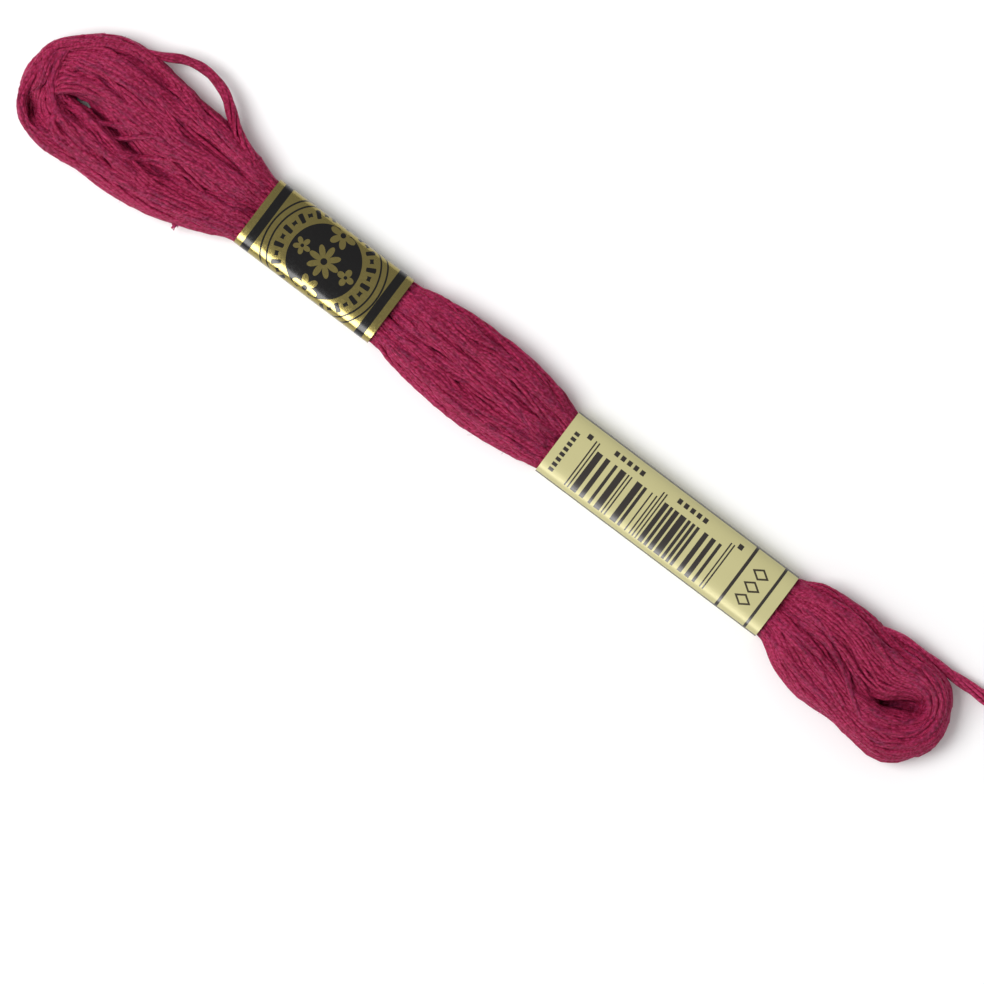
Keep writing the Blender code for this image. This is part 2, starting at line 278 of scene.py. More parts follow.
# %% [markdown]
# ## Where the winding runs
#
# The loop is pressed flat. It has an upper leg and a lower leg, which meet along a groove, and an eye at each
# end. One could model that as a solid and cut strands into it, but then no strand would be whole. So we only
# say where the turns run. A row of the table says how far the two legs reach at one place, where they meet,
# how wide the loop stands open, and how high it is. Round the ends, spokes do the same. A smooth curve runs
# from row to row.

# %% Sections of the winding
Section = namedtuple("Section", "x upper meet lower open top low")
SECTIONS = [
    Section(-74.5, 7.9, -3.3, -11.9, -0.10, 5.7, -0.4),
    Section(-72.4, 8.6, -2.8, -11.9, 0.40, 6.0, -0.4),
    Section(-71.1, 8.9, -2.9, -11.8, 0.00, 6.1, -0.5),
    Section(-69.9, 9.1, -3.0, -11.7, -0.05, 6.2, -0.5),
    Section(-67.0, 9.1, -3.4, -11.4, -0.10, 6.4, -0.5),
    Section(-63.0, 8.5, -3.9, -11.4, -0.10, 6.5, -0.5),
    Section(-58.0, 7.8, -4.1, -10.9, -0.10, 6.5, -0.5),
    Section(-53.0, 7.5, -3.6, -9.7, -0.10, 6.3, -0.5),
    Section(-48.0, 6.4, -2.3, -8.0, -0.10, 6.1, -0.4),
    Section(-45.2, 5.6, -0.9, -6.6, -0.10, 5.8, -0.1),
    Section(-43.9, 4.9, -0.4, -5.7, -0.10, 5.0, 0.5),
    Section(-17.4, 4.9, -0.4, -5.7, -0.10, 5.0, 0.5),
    Section(-16.1, 5.6, -0.4, -6.1, -0.10, 5.9, -0.1),
    Section(-12.9, 6.2, -0.6, -6.8, -0.10, 6.3, -0.4),
    Section(-8.0, 6.8, -0.9, -7.3, -0.10, 6.5, -0.5),
    Section(-3.0, 7.0, -1.2, -7.7, -0.10, 6.6, -0.5),
    Section(1.9, 6.7, -1.3, -7.5, -0.10, 6.5, -0.5),
    Section(6.8, 5.9, -1.2, -6.8, -0.10, 6.1, -0.4),
    Section(9.8, 5.1, -1.0, -6.3, -0.10, 5.6, -0.1),
    Section(11.1, 4.1, -0.8, -5.75, -0.10, 4.8, 0.5),
    Section(52.5, 4.1, -0.8, -5.75, -0.10, 4.8, 0.5),
    Section(53.8, 5.4, -0.9, -6.6, -0.10, 5.8, -0.1),
    Section(55.0, 6.0, -0.9, -7.5, -0.10, 6.3, -0.4),
    Section(58.2, 6.4, -0.9, -8.8, -0.10, 6.4, -0.5),
    Section(62.0, 6.5, -1.2, -9.6, -0.10, 6.6, -0.5),
    Section(66.0, 6.2, -2.4, -9.3, -0.10, 6.6, -0.5),
    Section(69.3, 6.0, -3.1, -9.5, -0.05, 6.6, -0.5),
    Section(72.0, 6.25, -3.0, -9.8, 0.24, 6.8, -0.5),
    Section(73.6, 6.25, -1.9, -10.0, 0.85, 6.7, -0.4),
    Section(75.9, 6.2, -0.6, -10.1, 0.85, 6.5, -0.4),
]
print(f"{len(SECTIONS)} sections, from {SECTIONS[0].x} to {SECTIONS[-1].x} mm")

# %% Spokes round the two ends
Spoke = namedtuple("Spoke", "angle reach")
RIGHT_SPOKES = [
    Spoke(90, 6.5), Spoke(60, 6.35), Spoke(30, 5.8), Spoke(0, 6.15),
    Spoke(-30, 7.0), Spoke(-60, 7.85), Spoke(-90, 9.6),
]
LEFT_SPOKES = [
    Spoke(-90, 8.4), Spoke(-120, 8.05), Spoke(-150, 7.5), Spoke(-180, 7.6),
    Spoke(-195, 7.8), Spoke(-210, 8.4), Spoke(-240, 8.5), Spoke(-255, 9.7), Spoke(-270, 11.4),
]
reaches = [spoke.reach for spoke in RIGHT_SPOKES + LEFT_SPOKES]
print("the ends reach", min(reaches), "to", max(reaches), "mm from where the legs end")

# %% A smooth curve from row to row
def eased(rows, key, value, at):
    """The values at places between the rows, on a smooth curve that never passes a row's own value."""
    xs = np.array([getattr(r, key) for r in rows], float)
    ys = np.array([getattr(r, value) for r in rows], float)
    if xs[0] > xs[-1]:
        xs, ys = xs[::-1], ys[::-1]
    widths = np.diff(xs)
    slopes = np.diff(ys) / widths
    product = slopes[:-1] * slopes[1:]
    total = slopes[:-1] + slopes[1:]
    tangents = np.zeros(len(xs))
    tangents[1:-1] = np.where(product > 0, 2 * product / np.where(product > 0, total, 1), 0)
    at = np.asarray(at, float)
    k = np.clip(np.searchsorted(xs, at) - 1, 0, len(widths) - 1)
    t = (at - xs[k]) / widths[k]
    return (
        ys[k] * (1 + 2 * t) * (1 - t) ** 2
        + ys[k + 1] * t * t * (3 - 2 * t)
        + widths[k] * (tangents[k] * t * (1 - t) ** 2 - tangents[k + 1] * t * t * (1 - t))
    )


print("the belly is", round(float(eased(SECTIONS, "x", "top", 0.0)), 2), "mm high in its middle")

# %% Places along the legs
BAND_SPANS = [(-43.1, -18.2), (11.9, 51.7)]
SHOWN_STEP, HIDDEN_STEP = 1.25, 2.5


def places_along():
    """Places from left to right: close together where the loop shows, and wider apart under the bands."""
    xs = []
    for a, b in zip(SECTIONS, SECTIONS[1:]):
        hidden = any(start < (a.x + b.x) / 2 < end for start, end in BAND_SPANS)
        count = math.ceil((b.x - a.x) / (HIDDEN_STEP if hidden else SHOWN_STEP))
        xs += [a.x + (b.x - a.x) * k / count for k in range(count)]
    return np.array([*xs, SECTIONS[-1].x])


print(len(places_along()), "places along each leg")

# %% The two legs
MEET_WAVES = [(0.30, 43, 0.3), (0.15, 17, 1.9)]  # how the groove between the legs wanders: mm, mm, radians
PRESSED_FROM, PRESSED_TO = -67.5, 72.1  # between these the legs are pressed flat against each other
CALM_WITHIN = 6  # mm, over which that wandering sets in


def leg(side):
    """Stations of the upper leg, where side is 1, or of the lower leg, where it is -1, from left to right."""
    xs = places_along()
    meet, gap, top, low = (eased(SECTIONS, "x", key, xs) for key in ("meet", "open", "top", "low"))
    edge = eased(SECTIONS, "x", "upper" if side > 0 else "lower", xs)
    pressed = (xs > PRESSED_FROM) & (xs < PRESSED_TO)
    calm = np.clip(np.minimum(xs - PRESSED_FROM, PRESSED_TO - xs) / CALM_WITHIN, 0, 1)
    for size, wave, phase in MEET_WAVES:
        meet = meet + calm * size * np.sin(2 * math.pi * xs / wave + phase)
    return np.stack([xs, meet + side * gap, xs, edge, top, low, pressed], axis=1)


print("the upper leg has", len(leg(1)), "stations")

# %% The two ends
SPOKE_STEP = 7.5
TIP_DROP = 0.8  # the turns stand this much lower at the far tip of each end


def end(section, spokes):
    """Stations round one end, without the two that the legs already have."""
    first, last = spokes[0].angle, spokes[-1].angle
    degrees = np.linspace(first, last, round((first - last) / SPOKE_STEP) + 1)[1:-1]
    reach = eased(spokes, "angle", "reach", degrees)
    way = np.stack([np.cos(np.radians(degrees)), np.sin(np.radians(degrees))], axis=1)
    hub = np.array([section.x, section.meet])
    rows = np.zeros((len(degrees), 7))
    rows[:, 0:2] = hub + section.open * way
    rows[:, 2:4] = hub + reach[:, None] * way
    rows[:, 4] = section.top - TIP_DROP * np.abs(way[:, 0])
    rows[:, 5] = section.low
    return rows


print("round the right end:", len(end(SECTIONS[-1], RIGHT_SPOKES)), "stations")

# %% The whole loop
WOUND_FROM = 30.0  # the winding starts and ends under the long band, where nobody sees its ends
TURNS = 25

parts_of_loop = [leg(1), end(SECTIONS[-1], RIGHT_SPOKES), leg(-1)[::-1], end(SECTIONS[0], LEFT_SPOKES)]
loop = np.vstack(parts_of_loop)
loop = np.roll(loop, -int(np.argmin(np.abs(loop[:, 0] - WOUND_FROM))), axis=0)
inner, outer = loop[:, 0:2], loop[:, 2:4]
top, low, pressed = loop[:, 4], loop[:, 5], loop[:, 6] > 0
middles = (inner + outer) / 2
steps_round = np.linalg.norm(np.roll(middles, -1, axis=0) - middles, axis=1)
loop_length = float(steps_round.sum())
way_round = np.concatenate([[0], np.cumsum(steps_round)[:-1]])
print(f"{len(loop)} stations, {loop_length:.0f} mm a turn, {TURNS * loop_length / 1000:.2f} m of floss")

# %% [markdown]
# ## Winding and settling the strands
#
# One floss runs through all the turns. Each turn lands a little further round the bundle than the last, and
# wanders sideways and in and out as it goes, as a machine lays it. Its strands twist round one another once
# in 24 mm. Then the strands settle: at every station those that overlap push each other apart, the outline
# of the bundle holds them in, and each strand stays smooth along its length. That leaves real crossings and
# real gaps, which a bump pattern cannot give. A physics engine would do it too, but for hours.

# %% Where each turn lies
GOLDEN = 0.382  # share of the way round the bundle from one turn to the next
ANGLE_WANDER = [(0.42, 1.37, 1.0), (0.24, 3.71, 2.0), (0.13, 8.3, 0.4)]  # radians, waves a turn, phase
DEPTH_WANDER = [(0.08, 4.3, 0.0), (0.06, 9.7, 1.0), (0.05, 17.1, 2.2)]
MEAN_DEPTH = 0.86

stations = len(loop)
turns = np.arange(TURNS)[:, None] + (way_round / loop_length)[None, :]
along_floss = turns * loop_length
angle = 2 * math.pi * GOLDEN * turns
angle = angle + sum(size * np.sin(2 * math.pi * waves * turns + phase) for size, waves, phase in ANGLE_WANDER)
depth = MEAN_DEPTH + sum(s * np.sin(2 * math.pi * waves * turns + phase) for s, waves, phase in DEPTH_WANDER)
half_wide = np.linalg.norm(outer - inner, axis=1) / 2 - THREAD / 2
half_high = (top - low) / 2 - THREAD / 2
level = (top + low) / 2
print(f"the bundle is {2 * half_wide.min():.1f} to {2 * half_wide.max():.1f} mm wide")

# %% The first lay of the strands
TWIST_PITCH = 24
STRAND_SPREAD = 0.50
STRAY_WAVES = [(0.34, 61.0), (0.24, 27.0), (0.13, 13.0)]  # how one strand leaves its floss: mm, mm
WAVE_PARTS = (1.0, 1.618)  # each wave comes with a shorter one that never falls in step with it
rng = np.random.default_rng(25)

twist = 2 * math.pi * (along_floss / TWIST_PITCH)[:, :, None] + 2 * math.pi * np.arange(STRANDS) / STRANDS
offsets = STRAND_SPREAD * np.stack([np.cos(twist), np.sin(twist)], axis=-1)
for size, wave in STRAY_WAVES:
    for axis in range(2):
        for part in WAVE_PARTS:
            phases = rng.uniform(0, 2 * math.pi, STRANDS)
            wander = np.sin(2 * math.pi * part * along_floss[:, :, None] / wave + phases)
            offsets[..., axis] += size * wander / part
centres = np.stack([depth * np.cos(angle) * half_wide, depth * np.sin(angle) * half_high], axis=-1)
lay = (centres[:, :, None, :] + offsets).astype(np.float32)
print("strand places:", lay.shape)

# %% How closely the strands settle
SPACING = 0.48  # between the middles of strands, where the bundle has room for it
TIGHT, LOOSE = 0.36, 0.60  # the least and the most that it may be elsewhere
OVAL_FILL = 1.08  # a squarish oval's area, as a share of an ellipse's
HOLLOW_LEAST, HOLLOW_MOST = 0.2, 0.8  # the middle that stays free, as a share of the bundle's size

area = math.pi * half_wide * half_high * OVAL_FILL
hexagon = SPACING**2 * math.sqrt(3) / 2  # the room of one strand among six neighbours
filled = TURNS * STRANDS * hexagon / area
hollow = np.sqrt(np.clip(1 - filled, HOLLOW_LEAST**2, HOLLOW_MOST**2))
room = np.clip(np.sqrt(area * (1 - hollow**2) / (TURNS * STRANDS) * 2 / math.sqrt(3)), TIGHT, LOOSE)
scale = np.stack([half_wide, half_high], axis=-1)[None, :, None, :].astype(np.float32)
room, hollow = room.astype(np.float32), hollow.astype(np.float32)
print(f"spacing {room.min():.2f} to {room.max():.2f} mm")

# %% The outline holds the strands in
SQUARENESS, PRESSED_SQUARENESS = 2.5, 6.0
RELIEF = [(0.16, 6, 130.0, 0.5), (0.13, 9, -90.0, 2.0), (0.14, 13, 52.0, 4.0)]  # mm, waves, mm along, phase
RELIEF_RAISE = 0.20
RELIEF_FROM = -0.6  # no ridges below this share of the half height: there the skein lies flat
NEVER_ZERO = 1e-9


def held_in(spots):
    """Moves strands that reach past the bundle's outline back onto it, and those in the core out of it."""
    wide, high = half_wide[:, None], half_high[:, None]
    a, b = spots[..., 0] / wide, spots[..., 1] / high
    squares = np.where((a < 0) & pressed[:, None], PRESSED_SQUARENESS, SQUARENESS)
    far = (np.abs(a) ** squares + np.abs(b) ** squares + NEVER_ZERO) ** (1 / squares)
    round_it = np.arctan2(b, a)
    relief = -RELIEF_RAISE
    for size, waves, length, phase in RELIEF:
        slant = 2 * math.pi * way_round[:, None] / length
        relief = relief + size * (0.5 + 0.5 * np.cos(waves * round_it + slant + phase))
    relief = relief * np.clip(a + 1.0, 0, 1) * (b > RELIEF_FROM)
    shrink = np.minimum(1, (1 - relief / high) / far) * np.maximum(1, hollow[:, None] / far)
    spots = spots * shrink[..., None]
    spots[..., 1] = np.maximum(spots[..., 1], THREAD / 2 - level[:, None])
    return spots


print("the outline of the bundle has", len(RELIEF), "rows of ridges")

# %% Overlapping strands push each other apart
PUSH = 0.5
APART = 1e-5  # mm, so that two strands in one place still have a distance


def pushed_apart(spots, room):
    """Moves strands that are nearer than room at a station away from each other, each by half of the way."""
    gap = spots[:, :, None, :] - spots[:, None, :, :]
    distance = np.sqrt((gap**2).sum(axis=-1)) + APART
    push = np.clip(room - distance, 0, None) / distance
    itself = np.arange(spots.shape[1])
    push[:, itself, itself] = 0
    return spots + PUSH * 0.5 * (push[..., None] * gap).sum(axis=2)


print("one push takes", PUSH, "of an overlap away")

# %% Each strand stays smooth
SMOOTHING = 0.16


def smoothed(spots, scale):
    """Evens each strand out along its length, from turn to turn, in shares of the bundle's size."""
    shares = spots / scale
    chain = shares.transpose(2, 0, 1, 3).reshape(STRANDS, TURNS * stations, 2)
    chain[:, 1:-1] += SMOOTHING * (0.5 * (chain[:, :-2] + chain[:, 2:]) - chain[:, 1:-1])
    return chain.reshape(STRANDS, TURNS, stations, 2).transpose(1, 2, 0, 3) * scale


print("a strand has", TURNS * stations, "points")

# %% Settling
ROUNDS = 90
KEEP_PLACE = 0.02

places = lay.copy()
for step in range(ROUNDS):
    places = smoothed(places, scale)
    places += KEEP_PLACE * (lay - places)
    at_station = places.transpose(1, 0, 2, 3).reshape(stations, TURNS * STRANDS, 2)
    at_station = held_in(pushed_apart(at_station, room[:, None, None])).astype(np.float32)
    places = at_station.reshape(stations, TURNS, STRANDS, 2).transpose(1, 0, 2, 3)
print("settled in", ROUNDS, "rounds; a strand moved", round(float(np.abs(places - lay).mean()), 2), "mm")

# %% [markdown]
# ## From the stations to the skein
#
# So far each strand has a place in the flat section of its bundle. Now the section goes to its station, and
# the strand into the room of the skein. Here and there the real skein has a small, deep hollow, where turns
# have been pulled apart. We press those in afterwards, because the winding alone would close them again. A
# twisted yarn also keeps small bends, its crimp.

# %% Small hollows
SINKS = [
    (-77.9, -8.3, 1.5, 1.2, 5.4), (-74.3, -4.6, 0.9, 0.35, 2.6), (-72.6, -5.3, 0.9, 0.4, 3.0),
    (-66.5, -3.9, 0.8, 0.45, 2.6), (-63.0, -4.1, 0.8, 0.45, 2.6), (-56.7, -4.4, 0.9, 0.4, 2.2),
    (-69.3, -3.1, 1.2, 0.5, 2.2), (77.3, 0.1, 1.4, 1.1, 2.8),
]
unit = (outer - inner) / np.linalg.norm(outer - inner, axis=1, keepdims=True)


def sunk(points):
    """The same points, lower in the small hollows. A hollow is a place, how long, how wide and how deep."""
    for x, y, long, wide, deep in SINKS:
        near = np.exp(-(((points[..., 0] - x) / long) ** 2) - ((points[..., 1] - y) / wide) ** 2)
        points[..., 2] -= near * np.clip(points[..., 2] - THREAD / 2, 0, deep)
    return points


print(len(SINKS), "hollows")

# %% Points of the skein
EVENING = 0.3  # how far one pass draws a point towards its neighbours


def in_the_skein(places):
    """Turns places in the bundle's section, at every station, into points of the skein, with its hollows."""
    ground = middles[None, :, None, :] + unit[None, :, None, :] * places[..., 0:1]
    height = level[None, :, None, None] + places[..., 1:2]
    return sunk(np.concatenate([ground, height], axis=-1).astype(float))


def evened(points, passes=2):
    """The same chains of points, with each drawn towards its neighbours."""
    for _ in range(passes):
        points[:, 1:-1] += EVENING * (points[:, :-2] + points[:, 2:] - 2 * points[:, 1:-1])
    return points


strand_points = evened(in_the_skein(places).transpose(2, 0, 1, 3).reshape(STRANDS, -1, 3))
print(f"the strands reach {strand_points[..., 2].max():.1f} mm up")

# %% The six strands
CRIMP = 0.05  # the small bends that a twisted yarn keeps

strand_points += rng.normal(0, CRIMP, strand_points.shape)
strand_points[..., 2] = np.maximum(strand_points[..., 2], THREAD / 2)
for k in range(STRANDS):
    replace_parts(thread_piece(f"hank_strand_{k + 1}", [strand_points[k]]), "floss_hank")
print("one strand is", round(length_of(strand_points[0]) / 1000, 1), "m long")

# %% [markdown]
# ## The inner turns and the filling
#
# Inside a skein there are only more turns, and a glimpse of them shows where the strands on top part. All of
# them could be settled too, but that takes long and nobody would see it. So one ring of strands lies close
# inside the winding, and a plain tube fills the middle of it, so that no light comes through.

# %% The inner turns
INNER_STRANDS = 44
INNER_WANDER = [(0.09, 3, 0.0), (0.06, 8, 1.0), (0.03, 19, 2.0)]  # radians, waves a turn, phase
INNER_STAGGER = 5  # each inner strand wanders at its own time
INNER_LEAST = 0.1

share = way_round / loop_length
ring = 2 * math.pi * np.arange(INNER_STRANDS) / INNER_STRANDS + np.zeros((stations, 1))
for size, waves, phase in INNER_WANDER:
    ring = ring + size * np.sin(2 * math.pi * waves * share[:, None] + phase + INNER_STAGGER * ring)
inside = np.stack([half_wide * hollow, half_high * hollow], axis=-1)[:, None] - THREAD / 3
inner_places = np.stack([np.cos(ring), np.sin(ring)], axis=-1) * np.maximum(inside, INNER_LEAST)
inner_points = evened(in_the_skein(inner_places[None])[0].transpose(1, 0, 2))
thread_piece("hank_inner_turns", list(inner_points))

# %% A grid that takes on a shape
def shaped_grid(bm, points):
    """Adds a grid of quads and moves its vertices to rows and columns of points, in millimetres. Gives back
    each vertex with its row and column."""
    rows, columns = points.shape[0] - 1, points.shape[1] - 1
    bmesh.ops.create_grid(bm, x_segments=rows, y_segments=columns, size=0.5)
    placed = []
    for vert in bm.verts:
        row, column = round((vert.co.x + 0.5) * rows), round((vert.co.y + 0.5) * columns)
        vert.co = points[row, column] * MM
        placed.append((vert, row, column))
    return placed


bm = bmesh.new()
shaped_grid(bm, np.zeros((3, 4, 3)))
print("a grid of 3 by 4 points has", len(bm.faces), "faces")
bm.free()

# %% The filling
CORE_SIDES = 24
CORE_INSET = 0.45  # how far the filling stays inside the inner turns
CORE_LEAST = 0.05

way = 2 * math.pi * np.arange(CORE_SIDES + 1) / CORE_SIDES
section = np.stack([np.cos(way), np.sin(way)], axis=-1) * np.maximum(inside - CORE_INSET, CORE_LEAST)
core_rings = in_the_skein(section[None])[0]
core_mesh = bpy.data.meshes.new("hank_core")
bm = bmesh.new()
shaped_grid(bm, np.concatenate([core_rings, core_rings[:1]]))
bmesh.ops.remove_doubles(bm, verts=bm.verts, dist=WELD)
bmesh.ops.recalc_face_normals(bm, faces=bm.faces)
bm.to_mesh(core_mesh)
bm.free()
core_mesh.shade_smooth()
as_piece("hank_core", core_mesh)

# %% [markdown]
# ## The bundles on top
#
# A skein that has been handled has bundles of turns that lie across the rest. They could be cut out of the
# winding and bent, but then the winding would show holes. We lay new ones over it, each along its own route,
# as an oval of strands, in the order in which it lies: the later over the earlier. A map of the height of
# all that lies there already holds each bundle up.

# %% The map of heights
CELL = 0.25
MAP_CORNER = np.array([-92.0, -22.0])
MAP_CELLS = (840, 176)
STEPS_TO_A_POINT = 6  # close enough that a thread leaves no cell out


def cells_of(spots):
    """The cell of the map that each spot is in."""
    cells = ((spots - MAP_CORNER) / CELL).astype(int)
    return np.clip(cells[..., 0], 0, MAP_CELLS[0] - 1), np.clip(cells[..., 1], 0, MAP_CELLS[1] - 1)


def raised_by(heights, lines):
    """The map after these threads are laid down."""
    for line in lines:
        fine = np.linspace(0, len(line) - 1, STEPS_TO_A_POINT * len(line))
        dense = np.stack([np.interp(fine, np.arange(len(line)), line[:, k]) for k in range(3)], axis=1)
        np.maximum.at(heights, cells_of(dense[:, :2]), dense[:, 2] + THREAD / 2)
    return heights


heights = raised_by(np.zeros(MAP_CELLS), [strand_points[k] for k in range(STRANDS)])
print(f"highest point: {heights.max():.2f} mm")

# %% The map as a thread feels it
BRIDGING = 4  # rounds of evening out


def evened_map(heights):
    """The map with the gaps between threads bridged, as a thread laid across them bridges them."""
    around = [(i, j) for i in (-1, 0, 1) for j in (-1, 0, 1)]
    soft = np.max([np.roll(heights, way, (0, 1)) for way in around], axis=0)
    for _ in range(BRIDGING):
        soft = np.mean([np.roll(soft, way, (0, 1)) for way in around], axis=0)
    return soft


print(f"highest when evened out: {evened_map(heights).max():.2f} mm")

# %% The strands of a bundle
BUNDLE_SPACING = 0.44
BUNDLE_WANDER = [(0.8, 37.0), (0.45, 19.0), (0.3, 9.0), (0.12, 4.5)]  # mm sideways, mm along
BUNDLE_WEAVE = [(0.13, 13.0), (0.08, 6.0)]  # mm up and down, mm along: strands pass over and under each other
BUNDLE_ROUNDS, BUNDLE_SMOOTHING = 14, 0.2
STRAND_TURN = 2.4  # radians from strand to strand, which fills an oval evenly
NARROWEST = 0.6  # mm, half a bundle's width: strands of narrower ones turn no further round it


def in_the_bundle(way, half, strands, random):
    """Where each strand is, sideways and upwards from the middle of the bundle, at each place along it."""
    number = np.arange(strands)
    turn = STRAND_TURN * number
    for size, wave in BUNDLE_WANDER:
        phases = random.uniform(0, 2 * math.pi, strands)
        turn = turn + size / np.maximum(half[..., 0], NARROWEST) * np.sin(2 * math.pi * way / wave + phases)
    reach = np.sqrt((number + 0.5) / strands)
    spots = np.stack([reach * np.cos(turn), reach * np.sin(turn)], axis=-1) * half
    for _ in range(BUNDLE_ROUNDS):
        spots = pushed_apart(spots, BUNDLE_SPACING)
        spots = spots / np.maximum(1, np.linalg.norm(spots / half, axis=-1, keepdims=True))
        spots[1:-1] += BUNDLE_SMOOTHING * (spots[:-2] + spots[2:] - 2 * spots[1:-1])
    for size, wave in BUNDLE_WEAVE:
        spots[..., 1] += size * np.sin(2 * math.pi * way / wave + random.uniform(0, 2 * math.pi, strands))
    return spots


print("strands in a bundle keep", BUNDLE_SPACING, "mm apart")

# %% Laying a bundle down
DIP, DIP_LENGTH = 1.3, 1.4  # how its ends go down between the turns below
PRESSED_IN = 0.15  # soft yarn gives way to what is laid on it


def draped(line, across, way, half, spots):
    """Points of a bundle that rests on all that the map of heights holds."""
    points = line[:, None] + spots[..., :1] * across[:, None]
    at_ends = np.exp(-np.minimum(way, way[-1] - way) / DIP_LENGTH)
    below = evened_map(heights)[cells_of(points[..., :2])]
    lifted = half[..., 1] * np.sqrt(np.clip(1 - (spots[..., 0] / half[..., 0]) ** 2, 0, 1))
    points[..., 2] = line[:, 2:] + below - PRESSED_IN + lifted + spots[..., 1] - DIP * at_ends
    return sunk(points)


print(f"a bundle sinks {PRESSED_IN} mm into what it lies on")

# %% A bundle
BUNDLE_STEP = 0.8
BUNDLE_EVENING = 3
LEAST_HALF = 0.03


def bundle(route, strands, wide, high, seed, drape=True):
    """Strands along a route. wide and high give its section at even places; a route's heights count from
    what lies below when it is draped."""
    random = np.random.default_rng(seed)
    line = smooth_route(route, BUNDLE_STEP)
    across, up = across_and_up(line)
    way = np.linspace(0, length_of(line), len(line))[:, None]
    share = np.linspace(0, 1, len(line))
    half = [np.interp(share, np.linspace(0, 1, len(size)), size) / 2 - THREAD / 2 for size in (wide, high)]
    half = np.maximum(np.stack(half, axis=1), LEAST_HALF)[:, None]
    spots = in_the_bundle(way, half, strands, random)
    if drape:
        points = draped(line, across, way, half, spots)
    else:
        points = line[:, None] + spots[..., :1] * across[:, None] + spots[..., 1:] * up[:, None]
    points = evened(points.transpose(1, 0, 2), BUNDLE_EVENING)
    points += random.normal(0, CRIMP, points.shape)
    points[..., 2] = np.maximum(points[..., 2], THREAD / 2)
    raised_by(heights, points)
    return list(points)


print("a bundle has a point every", BUNDLE_STEP, "mm")

# %% [markdown]
# ## The wide end
#
# At this end the turns part round a long, narrow slit, and behind it a bundle crosses over all the others
# and closes the tip. In the real skein all of these are the same turns, and only the last ones show. Each
# call below is one bundle that can be picked out by eye: its route, the number of its strands, its widths,
# its heights, and a number that starts its random wandering.

# %% The upper turns of the wide end
UPPER_TURNS = [  # how high they start, pass the middle, come to the tip, and end
    (3.9, 6.4, 6.6, 5.2), (2.6, 5.4, 5.2, 3.2), (3.2, 3.9, 3.9, 2.2), (0.6, 2.6, 2.8, 1.0),
    (1.9, 1.2, 1.4, 0.0), (-0.8, 0.2, 0.4, -1.6), (-1.8, -0.6, -0.7, -3.0), (0.2, -1.6, -1.5, -4.2),
]

RIBBON = 9  # strands side by side

left_turns = []
for number, (start, middle, finish, end_y) in enumerate(UPPER_TURNS):
    route = [
        (-41.5, 0.9 * start, -0.3), (-45.5, start, -0.1), (-53, (start + middle) / 2, 0), (-61, middle, 0),
        (-69, finish, 0), (-75 + 0.25 * abs(finish), 0.6 * finish + 0.4 * end_y, 0),
        (-79.0 + 0.9 * max(0, end_y - 1.0), end_y, 0),
    ]
    left_turns += bundle(route, RIBBON, [1.8, 2.4, 2.8, 2.6, 2.2, 1.8], [0.6], 60 + number)
print("strands so far:", len(left_turns))

# %% Turns that curl round the slit
left_turns += bundle(
    [(-56, -8.2, -0.2), (-64, -9.0, 0), (-70.5, -9.1, 0), (-73.2, -8.8, 0), (-74.6, -7.8, 0),
     (-74.7, -6.9, 0), (-73.4, -6.4, 0), (-70, -6.6, 0), (-64, -6.9, 0), (-57, -6.7, -0.3)],
    24, [2.2, 2.6, 2.5, 2.3, 2.5, 2.6], [0.7, 0.9, 1.1, 0.9, 0.7], 3,
)
left_turns += bundle(
    [(-69.5, -0.3, -0.3), (-73.0, -0.9, 0), (-75.6, -1.6, 0), (-76.5, -3.0, 0), (-75.6, -4.5, 0),
     (-72.6, -4.9, 0), (-69.5, -5.5, -0.3)],
    9, [1.7, 1.6, 1.6, 1.9], [0.7], 11,
)
left_turns += bundle(
    [(-68.0, 1.0, -0.3), (-71.0, 0.3, 0), (-74.2, -0.7, 0), (-76.6, -1.8, 0), (-77.4, -3.1, 0),
     (-76.5, -4.4, 0), (-74.4, -4.5, 0.1), (-72.3, -4.1, 0.2), (-69.8, -4.4, 0.1), (-65.3, -5.0, 0),
     (-60, -5.6, -0.3)],
    8, [1.8, 1.8, 1.5, 1.3, 1.2, 1.1, 1.1], [0.7], 4,
)
print("strands so far:", len(left_turns))

# %% Turns that cross the slit
BRIDGES = [
    ([(-72.6, -5.6, -0.3), (-70.2, -4.9, 0), (-67.9, -3.6, 0.1), (-65.6, -2.2, 0), (-62.5, -1.4, -0.3)],
     8, 1.2),
    ([(-67.0, -5.6, -0.2), (-65.3, -4.4, 0), (-63.9, -3.3, 0.2), (-62.3, -1.7, 0.2), (-60.6, -0.5, 0),
      (-58.0, 0.3, -0.2)], 8, 1.3),
    ([(-66.5, -6.2, -0.3), (-62.0, -5.3, 0), (-60.0, -3.9, 0.1), (-57.8, -2.7, 0), (-53.5, -2.2, -0.3)],
     10, 1.8),
]

left_turns += bundle(
    [(-68.5, -0.9, -0.3), (-71.5, -1.3, 0), (-73.8, -2.1, 0.1), (-75.6, -3.4, 0.2), (-76.9, -5.0, 0.1),
     (-77.8, -6.6, -0.4)],
    11, [1.4, 1.8, 2.0, 1.7], [0.8], 16,
)
for number, (route, strands, wide) in enumerate(BRIDGES):
    left_turns += bundle(route, strands, [wide], [0.7], 90 + number)
left_turns += bundle(
    [(-41.5, 1.6, -0.3), (-45.5, 1.9, -0.1), (-53, 2.0, 0), (-58, 2.9, 0), (-63, 3.9, 0), (-69, 4.6, -0.3)],
    9, [1.8, 2.4, 2.4], [0.6], 13,
)
print("strands so far:", len(left_turns))

